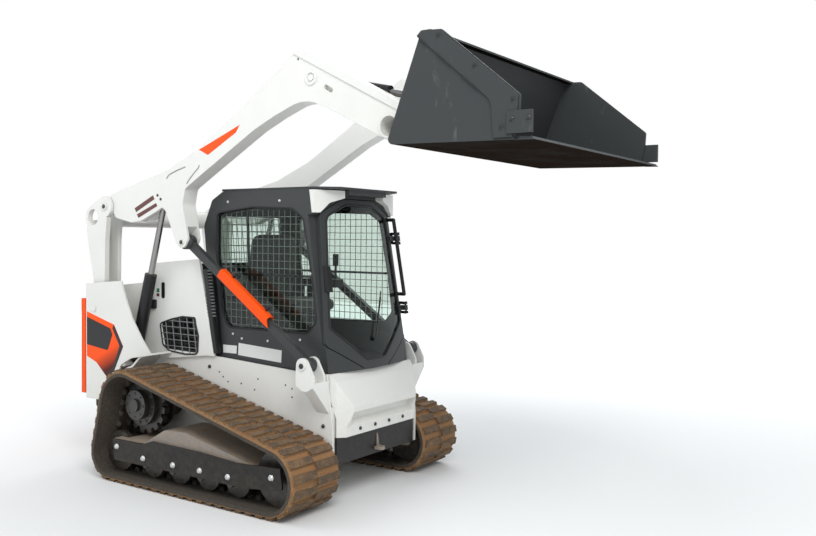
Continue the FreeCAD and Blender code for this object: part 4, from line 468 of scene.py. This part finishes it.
# The frame's bolt holes are dark discs of painted shade.
for tag, rows in zip(("left", "right"), both(FRAME_HOLES)):
    out = (0, np.sign(rows[0][1]), 0)
    place("frame_holes_" + tag, lathe("frame_holes_" + tag, at(rows), out, [(0.0065, 0), (0.0065, 0.0006), (0, 0.0006)], 12),
          HOLE_SHADE, "chassis")
for tag, rows in zip(("left", "right"), both(FRAME_BOLTS)):
    bolts("frame_bolts_" + tag, at(rows), (0, np.sign(rows[0][1]), 0), 0.012, "chassis", GREASY_STEEL)
STEP_BOLTS = [(1735, y, 478) for y in (-245, -80, 80, 245)]
bolts("step_bolts", at(STEP_BOLTS), (1, 0, 0), 0.011, "chassis", GREASY_STEEL)
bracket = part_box("link_brackets")
for side, y in (("right", bracket[0].y), ("left", bracket[1].y)):
    rows = [(0, 0), (0.019, 0), (0.019, 0.004), (0.013, 0.008), (0, 0.008)]
    place("foot_pin_" + side, lathe("foot_pin_" + side, [(0.2175, y, 0.917)], (0, np.sign(y), 0), rows, 6), GREASY_STEEL,
          "chassis")
TAIL_FIELD = [(-548, 1155), (-225, 1073), (-120, 918), (-226, 725), (-307, 674), (-434, 776), (-548, 815)]
TAIL_EDGE = [(-225, 1073), (-120, 918), (-226, 725), (-307, 674), (-300, 700), (-240, 745), (-160, 918), (-243, 1045)]
TAIL_PANEL = [(-546, 1114, 0), (-266, 1042, 20), (-243, 998, 20), (-297, 877, 20), (-546, 904, 0)]
# Painted shade: the orange field darkens to near black towards its lower front, along a slanting line.
shaded = Nodes("tail_field")
spot = shaded.add("ShaderNodeTexCoord").outputs["Object"]
fall = shaded.add("ShaderNodeVectorMath", {"operation": "DOT_PRODUCT"}, n0=spot, n1=(0.5, 0, -1)).outputs["Value"]
shaded.set(Base_Color=shaded.mix(shaded.ramp(fall, -1.70, -1.56), (0.93, 0.085, 0.002, 1), (0.07, 0.008, 0.003, 1)),
           Roughness=0.42, Specular_IOR_Level=0.2)
stickers("tail_field", TAIL_FIELD, 690, shaded.material)
stickers("tail_edge", TAIL_EDGE, 691.2, BLACK, thick=0.8)
stickers("tail_panel", rounded(TAIL_PANEL), 691.2, BLACK, thick=0.8)
stickers("tower_label", [(20, 1424), (58, 1425), (58, 1279), (20, 1278)], 500, BLANK)
stickers("tower_mark_green", [(24, 1345), (54, 1345), (54, 1316), (24, 1316)], 501.2, GREEN, thick=0.5)
stickers("tower_mark_red", [(24, 1308), (54, 1308), (54, 1286), (24, 1286)], 501.2, MAROON, thick=0.5)
# The tower's slot is drawn as a thin black plate: painted shade for its opening.
stickers("tower_slot", rounded([(78, 1392, 12), (112, 1392, 12), (112, 1274, 12), (78, 1274, 12)], 5), 500, BLACK, thick=3)
stickers("tower_box", rounded([(-45, 1259, 10), (24, 1262, 10), (24, 1194, 10), (-45, 1191, 10)], 4), 500, PLASTIC, thick=14)
# Ribs of the rubber strip, grey as painted highlight, on a black back.
share = np.linspace(0, 1, 15)[:, None]
middle = np.array((548, 1490)) * (1 - share) + np.array((592, 1172)) * share
for side in (-1, 1):
    tag = "_right" if side < 0 else "_left"
    rows = []
    for y, a, c in ((449, 36, 6), (492, 36, 6), (499, 32, 4), (499, 0, 0)):
        spots = np.stack([middle + (p * a, q * c) for p, q in ((-1, -1), (1, -1), (1, 1), (-1, 1))], axis=1)
        rows.append(np.insert(spots, 1, side * y, axis=2))
    place("strip_ribs" + tag, surface("strip_ribs" + tag, at(np.stack(rows, axis=1)), closed_v=True), RIB_HIGHLIGHT_GREY, "chassis")
stickers("strip_back", [(518, 1500), (584, 1500), (632, 1160), (660, 905), (628, 905), (560, 1160)], 449, BLACK, thick=30)

# Rear links, lift arms and front links
# The arms are long welded box sections in white; an orange field without text marks the bend of each.
dress(WHITE, "rear_links", "lift_arm_right", "lift_arm_left", "arm_cross_tube")
HEEL, FOOT = np.array((449.0, 1691.0)), np.array((1565.0, 917.0))
along = (FOOT - HEEL) / np.linalg.norm(FOOT - HEEL)
above = np.array((-along[1], along[0]))
LINK_DEPTH, LINK_FACE, LINK_BACK = 28.0, 586.0, 546.0


def on_link(rows):
    """Points (x, z) from rows of (length down the link from its heel, height over its middle line)."""
    rows = np.asarray(rows, float)
    return HEEL + rows[..., :1] * along + rows[..., 1:] * above


reach = float(np.linalg.norm(FOOT - HEEL))
bar = on_link([(0, LINK_DEPTH), (reach, LINK_DEPTH), (reach, -LINK_DEPTH), (0, -LINK_DEPTH)])
for side in (-1, 1):
    tag = "_right" if side < 0 else "_left"
    low, high = sorted((side * LINK_BACK, side * LINK_FACE))
    link = place("front_link" + tag, slab("front_link" + tag, bar, low, high), CHARCOAL, "control_links")
    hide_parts("control_links")
    for name, spot, radius in (("heel", HEEL, 50), ("foot", FOOT, 44)):
        rows = [(0, 0), (radius / 1000, 0), (radius / 1000, 0.072), (0, 0.072)]
        start = at([(spot[0], side * 539.0, spot[1])])
        tagged = "front_link_%s%s" % (name, tag)
        place(tagged, lathe(tagged, start, (0, side, 0), rows, 32), CHARCOAL, "control_links")

STOP_FOLD = [(-604, -10), (-604, 32), (-597, 46), (-585, 53), (-555, 53), (-543, 46), (-536, 32), (-536, 6),
             (-543, 6), (-543, 30), (-549, 41), (-558, 46), (-582, 46), (-591, 41), (-597, 30), (-597, -10)]
fold = np.array(STOP_FOLD, float)
start = np.full(len(fold), 390.0)
end = 925.0 + np.clip((32 - fold[:, 1]) * 0.9, 0, 40) * (fold[:, 0] < -590)
rows = []
for stop in (start, end):
    spots = on_link(np.stack([stop, fold[:, 1]], axis=1))
    rows.append(np.stack([spots[:, 0], fold[:, 0], spots[:, 1]], axis=1))
count = len(fold)
skin = bpy.data.meshes.new("stop_channel")
half = [[k, k + 1, count - 2 - k, count - 1 - k] for k in range(count // 2 - 1)]
faces = [[k, (k + 1) % count, (k + 1) % count + count, k + count] for k in range(count)]
faces += [face[::-1] for face in half] + [[k + count for k in face] for face in half]
skin.from_pydata(at(np.concatenate(rows)).tolist(), [], faces)
channel = place("stop_channel", skin, ORANGE, "control_links")
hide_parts("arm_stop")
for name, stop in (("upper", 490.0), ("lower", 859.0)):
    x, z = on_link((stop, 51.0))
    rows = [(0, 0), (0.009, 0), (0.009, 0.012), (0.016, 0.015), (0.016, 0.028), (0.010, 0.035), (0, 0.035)]
    knob = lathe("stop_knob_" + name, at([(x, -560.0, z)]), (above[0], 0, above[1]), rows, 16)
    place("stop_knob_" + name, knob, PLASTIC, "control_links")
stickers("arm_field", [(620, 2328), (1010, 2474), (975, 2426), (709, 2289)], 635, ORANGE, "boom")
stickers("arm_label_upper", [(-59, 1934), (144, 2025), (160, 1997), (-42, 1906)], 635, MAROON, "boom")
stickers("arm_label_lower", [(-33, 1889), (177, 1969), (190, 1947), (-16, 1863)], 635, MAROON, "boom")
# Painted shade: grey tubes along the pressed folds of the arms' outer plates.
SEAM_SHADE = Nodes("seam_painted_shade").set(Base_Color=(0.26, 0.26, 0.25, 1), Roughness=0.5).material
SEAMS = ([(286, 2136), (298, 2153), (321, 2169), (391, 2193), (489, 2217)],
         [(626, 2227), (615, 2205), (572, 2170), (538, 2142), (513, 2116), (494, 2093)])
for side in (-1, 1):
    for kind, seam in zip("ab", SEAMS):
        line = even(np.array(seam, float), 8.0, closed=False)
        path = at(np.stack([line[:, 0], np.full(len(line), side * 634.5), line[:, 1]], axis=1))
        name = "arm_seam_%s%s" % (kind, "_right" if side < 0 else "_left")
        place(name, tube(name, path, 0.0045, 8), SEAM_SHADE, "boom", smooth=True)
ARM_TUBE = (2226.0, 2388.0)
angle = np.linspace(0, 2 * np.pi, 96, endpoint=False)
for side in (-1, 1):
    tag = "_right" if side < 0 else "_left"
    ring = at(np.stack([ARM_TUBE[0] + 73 * np.cos(angle), np.full(96, side * 636.0), ARM_TUBE[1] + 73 * np.sin(angle)], axis=1))
    place("tube_weld" + tag, tube("tube_weld" + tag, ring, 0.0045, 6, True, ripple=0.15), WHITE, "boom")
    for name, spot, r, y in (("link_head_pin", (-382, 1951), 17, 663), ("heel_pin", (449, 1691), 15, 643), ("tip_pin", (2356, 2366), 15, 643)):
        body = "boom"
        rows = [(r / 1000, 0), (r / 1000, 0.003), (r * 0.8 / 1000, 0.005), (0, 0.005)]
        place(name + tag, lathe(name + tag, at([(spot[0], side * y, spot[1])]), (0, side, 0), rows, 20), GREASY_STEEL, body)
    rows = [(0, 0), (0.010, 0), (0.010, 0.003), (0.006, 0.005), (0, 0.005)]
    spots = at([(193, side * 635.0, 2024), (226, side * 635.0, 1996)])
    place("arm_plugs" + tag, lathe("arm_plugs" + tag, spots, (0, side, 0), rows, 16), GREASY_STEEL, "boom")
dress(BLACK, "lift_barrels", "tilt_barrels")
dress(CHROME, "lift_rods", "tilt_rods")

# Bucket and its quick coupler
# A low-profile digging bucket in grey: cheek plates with dark lines and discs painted as the shade of slots and holes,
# bolts at their corners, the cutting edge in the same grey.
dress(BUCKET_GREY, "bucket_shell", "bucket_cheeks", "coupler")
dress(BUCKET_GREY, "cutting_edge")
CHEEK_TOP, CHEEK_BEND = np.array((2612.0, 2808.0)), np.array((3051.0, 2443.0))
CHEEK_HOLES = [(2750, 2798), (2971, 2618), (3192, 2430), (3130, 2295)]
CHEEK_SLOTS = [(0.0, 0.16), (0.28, 0.51), (0.63, 0.875)]
# Slots along each cheek are dark lines and its holes dark discs: painted shade.
for side in (-1, 1):
    tag = "_right" if side < 0 else "_left"
    for k, (first, last) in enumerate(CHEEK_SLOTS):
        run = CHEEK_TOP + np.linspace(first, last, 8)[:, None] * (CHEEK_BEND - CHEEK_TOP)
        path = at(np.stack([run[:, 0], np.full(len(run), side * 931.0), run[:, 1]], axis=1))
        name = "cheek_slot_%d%s" % (k, tag)
        place(name, tube(name, path, 0.0035, 6), HOLE_SHADE, "bucket")
    rows = np.insert(np.array(CHEEK_HOLES, float), 1, side * 940.0, axis=1)
    disc = lathe("cheek_holes" + tag, at(rows), (0, side, 0), [(0.009, 0), (0.009, 0.0006), (0, 0.0006)], 16)
    place("cheek_holes" + tag, disc, HOLE_SHADE, "bucket")
    rows = [(3190, side * 940, 2330), (3282, side * 940, 2330)]
    bolts("corner_bolts" + tag, at(rows), (0, side, 0), 0.010, "bucket", GREASY_STEEL)

# Cab shell, its glass, seals and wire guards
# A pressed and welded charcoal cab; its side windows are sealed by black rubber, and its side and rear windows are
# guarded by 50 mm wire mesh.
dress(CHARCOAL, "cab_shell", "cab_roof", "engine_hood")
dress(WHITE, "lamp_housings")
dress(BLACK, "side_screens", "door_hinges")
glass = Nodes("tinted_glass")
glass.set(Base_Color=(0.75, 0.83, 0.785, 1), Roughness=0.015, Transmission_Weight=1.0, IOR=1.25)
dress(glass.material, "side_windows", "rear_window", "door_glass")
WINDOW = [(600, 1899, 40), (941, 1938, 60), (1305, 1925, 40), (1403, 1861, 60), (1489, 1444, 200),
          (1525, 1185, 60), (1451, 1102, 60), (714, 1096, 60), (658, 1189, 60), (593, 1639, 100)]
WIRE_PITCH, WIRE_R = 50.0, 0.0025


def chords(outline, values, axis):
    """Ends of the lines that cross a closed outline at each value of one coordinate."""
    a, b = outline, np.roll(outline, -1, axis=0)
    other = 1 - axis
    ends = []
    for value in values:
        cut = (a[:, axis] - value) * (b[:, axis] - value) < 0
        share = (value - a[cut, axis]) / (b[cut, axis] - a[cut, axis])
        spots = a[cut, other] + share * (b[cut, other] - a[cut, other])
        if len(spots) > 1:
            ends.append(((value, spots.min()), (value, spots.max())))
    return np.array(ends)[..., ::-1] if axis else np.array(ends)


def wires(name, ends, radius, body, material=None):
    """Straight wires between pairs of points: a hexagon carried from one end to the other."""
    start, end = ends[:, :1], ends[:, 1:]
    along = (end - start) / np.linalg.norm(end - start, axis=2, keepdims=True)
    side = np.cross(along, (0.31, 0.87, 0.38))
    side /= np.linalg.norm(side, axis=2, keepdims=True)
    other = np.cross(along, side)
    angle = np.linspace(0, 2 * np.pi, 6, endpoint=False)[None, None, :, None]
    ring = radius * (np.cos(angle) * side[:, :, None] + np.sin(angle) * other[:, :, None])
    return place(name, surface(name, ends[:, :, None, :] + ring, closed_v=True), material or GUARD_WIRE, body)


GUARD_WIRE = Nodes("guard_wire").set(Base_Color=(0.22, 0.235, 0.225, 1), Roughness=0.4).material
pane = rounded(WINDOW)
uprights = chords(pane, np.arange(620, 1520, WIRE_PITCH), 0)
rails = chords(pane, np.arange(1120, 1930, WIRE_PITCH), 1)
for side in (-1, 1):
    tag = "_right" if side < 0 else "_left"
    for kind, ends, y in (("uprights", uprights, 421.0), ("rails", rails, 418.0)):
        flat = np.stack([ends[..., 0], np.full(ends.shape[:2], side * y), ends[..., 1]], axis=-1)
        wires("mesh_" + kind + tag, at(flat), WIRE_R, "chassis")
    rim = even(pane, 12.0)
    path = at(np.stack([rim[:, 0], np.full(len(rim), side * 447.5), rim[:, 1]], axis=1))
    place("window_seal" + tag, tube("window_seal" + tag, path, 0.006, 8, True), GASKET, "chassis", smooth=True)
VENT = rounded([(64, 1087, 20), (182, 1124, 0), (302, 1150, 40), (428, 1147, 25), (472, 1021, 0), (463, 890, 30),
                (337, 880, 0), (165, 892, 40), (94, 935, 20)])
VENT_LEAN = 0.133
VENT_WIRE = Nodes("vent_wire").set(Base_Color=(0.20, 0.20, 0.20, 1), Roughness=0.35).material
leaned = VENT + np.stack([(VENT[:, 1] - 1000) * VENT_LEAN, np.zeros(len(VENT))], axis=1)
bars = chords(leaned, np.array((141, 213, 293, 370, 439)), 0)
bars[..., 0] -= (bars[..., 1] - 1000) * VENT_LEAN
for side in (-1, 1):
    tag = "_right" if side < 0 else "_left"
    for kind, ends, y in (("bars", bars, 503.0), ("rows", chords(VENT, np.array((930, 976, 1022, 1070, 1114)), 1), 501.0)):
        flat = np.stack([ends[..., 0], np.full(ends.shape[:2], side * y), ends[..., 1]], axis=-1)
        wires("vent_" + kind + tag, at(flat), 0.0035, "chassis", VENT_WIRE)
    rim = even(VENT, 10.0)
    path = at(np.stack([rim[:, 0], np.full(len(rim), side * 502.0), rim[:, 1]], axis=1))
    place("vent_rim" + tag, tube("vent_rim" + tag, path, 0.006, 8, True), PLASTIC, "chassis", smooth=True)
REAR_PANE = rounded([(330, 1300, 40), (330, 1880, 40), (-330, 1880, 40), (-330, 1300, 40)])
rear_lo, rear_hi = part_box("rear_window")
lean = (rear_hi.x - rear_lo.x - 0.006) / (rear_hi.z - rear_lo.z)
for kind, ends in (("uprights", chords(REAR_PANE, np.arange(-300, 310, WIRE_PITCH), 0)),
                   ("rails", chords(REAR_PANE, np.arange(1320, 1880, WIRE_PITCH), 1))):
    z = ends[..., 1] / 1000
    x = rear_hi.x + 0.012 - (z - rear_lo.z) * lean
    wires("rear_mesh_" + kind, np.stack([x, ends[..., 0] / 1000, z], axis=-1), WIRE_R, "chassis")
CAB_BOLTS = [(709, -448, 1977), (1195, -448, 1977), (763, -448, 1052), (850, -448, 1025), (1094, -448, 1026),
             (1384, -448, 1054), (1474, -448, 1496), (545, -448, 1500)]
for tag, rows in zip(("left", "right"), both(CAB_BOLTS)):
    bolts("cab_bolts_" + tag, at(rows), (0, np.sign(rows[0][1]), 0), 0.008, "chassis")
stickers("cab_plate_small", [(668, 970), (802, 971), (798, 915), (669, 914)], 448, BLANK)
stickers("cab_plate_large", [(820, 993), (1222, 971), (1218, 888), (814, 908)], 448, BLANK)

# Door with its handle, grab bar and wiper
# A curved tinted pane in a charcoal leaf, held by a black rubber seal.
dress(CHARCOAL, "door_frame")
dress(BLACK, "door_handle", "wiper")
dress(BLACK, "grab_bar")
PANE = [(102, 914, 40), (402, 1140, 40), (332, 1871, 70), (145, 1954, 60),
        (-145, 1954, 60), (-332, 1871, 70), (-402, 1140, 40), (-102, 914, 40)]
DOOR_PLAN_R = (448.0 ** 2 + 62.8 ** 2) / (2 * 62.8)


def door_face(y, z):
    """X of the door's outer face: a line leaning forward to the floor, less the fall of its curved plan."""
    return 1510 + (2060 - z) * 0.151 - (DOOR_PLAN_R - np.sqrt(DOOR_PLAN_R ** 2 - y ** 2))


rim = even(rounded(PANE), 12.0)
path = at(np.stack([door_face(rim[:, 0], rim[:, 1]) - 1.0, rim[:, 0], rim[:, 1]], axis=1))
place("door_seal", tube("door_seal", path, 0.0075, 8, True, across=(1, 0, 0.15)), GASKET, "cab_door", smooth=True)

# Operator's seat, armrests and levers
# A vinyl-covered foam cushion and backrest on a plain base.
VINYL = Nodes("seat_vinyl")
grain = VINYL.noise(220.0, 4.0, 0.6)
VINYL.set(Base_Color=(0.028, 0.028, 0.030, 1), Roughness=0.55,
          Normal=VINYL.add("ShaderNodeBump", Height=grain, Strength=0.25, Distance=0.001).outputs[0])


def pad(name, centre, half, lean, square=0.32, crown=0.10):
    """Foam pad: a superellipsoid whose top is crowned by a cosine of both spans, leaned about the Y axis."""
    u, v = np.meshgrid(np.linspace(-np.pi / 2, np.pi / 2, 33), np.linspace(0, 2 * np.pi, 64, endpoint=False), indexing="ij")
    soft = lambda value, power: np.sign(value) * np.abs(value) ** power
    x = soft(np.cos(u), square) * soft(np.cos(v), square)
    y = soft(np.cos(u), square) * soft(np.sin(v), square)
    z = soft(np.sin(u), 0.55)
    z = z * (1 - crown + crown * np.cos(x * np.pi / 2) * np.cos(y * np.pi / 2))
    x, y, z = x * half[0], y * half[1], z * half[2]
    turn = math.radians(lean)
    grid = np.stack([x * math.cos(turn) + z * math.sin(turn), y, -x * math.sin(turn) + z * math.cos(turn)], axis=-1)
    piece = place(name, surface(name, at(grid + centre), closed_v=True), VINYL.material, "chassis", smooth=True)
    return piece


cushion = pad("seat_cushion", (925, 0, 1241), (226, 244, 56), 0)
backrest = pad("seat_backrest", (722, 0, 1520), (232, 226, 44), -85)
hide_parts("seat")
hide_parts("seat")
dress(PLASTIC, "armrests", "levers", "seat_base")

# Tailgate, its louvres and lamps
# A swinging steel gate painted orange with a black moulded grille, and red lamps.
dress(ORANGE, "tailgate")
dress(PLASTIC, "tailgate_grille")
RED = Nodes("red_lens").set(Base_Color=(0.45, 0.01, 0.01, 1), Roughness=0.12).material
dress(RED, "tail_lamps")
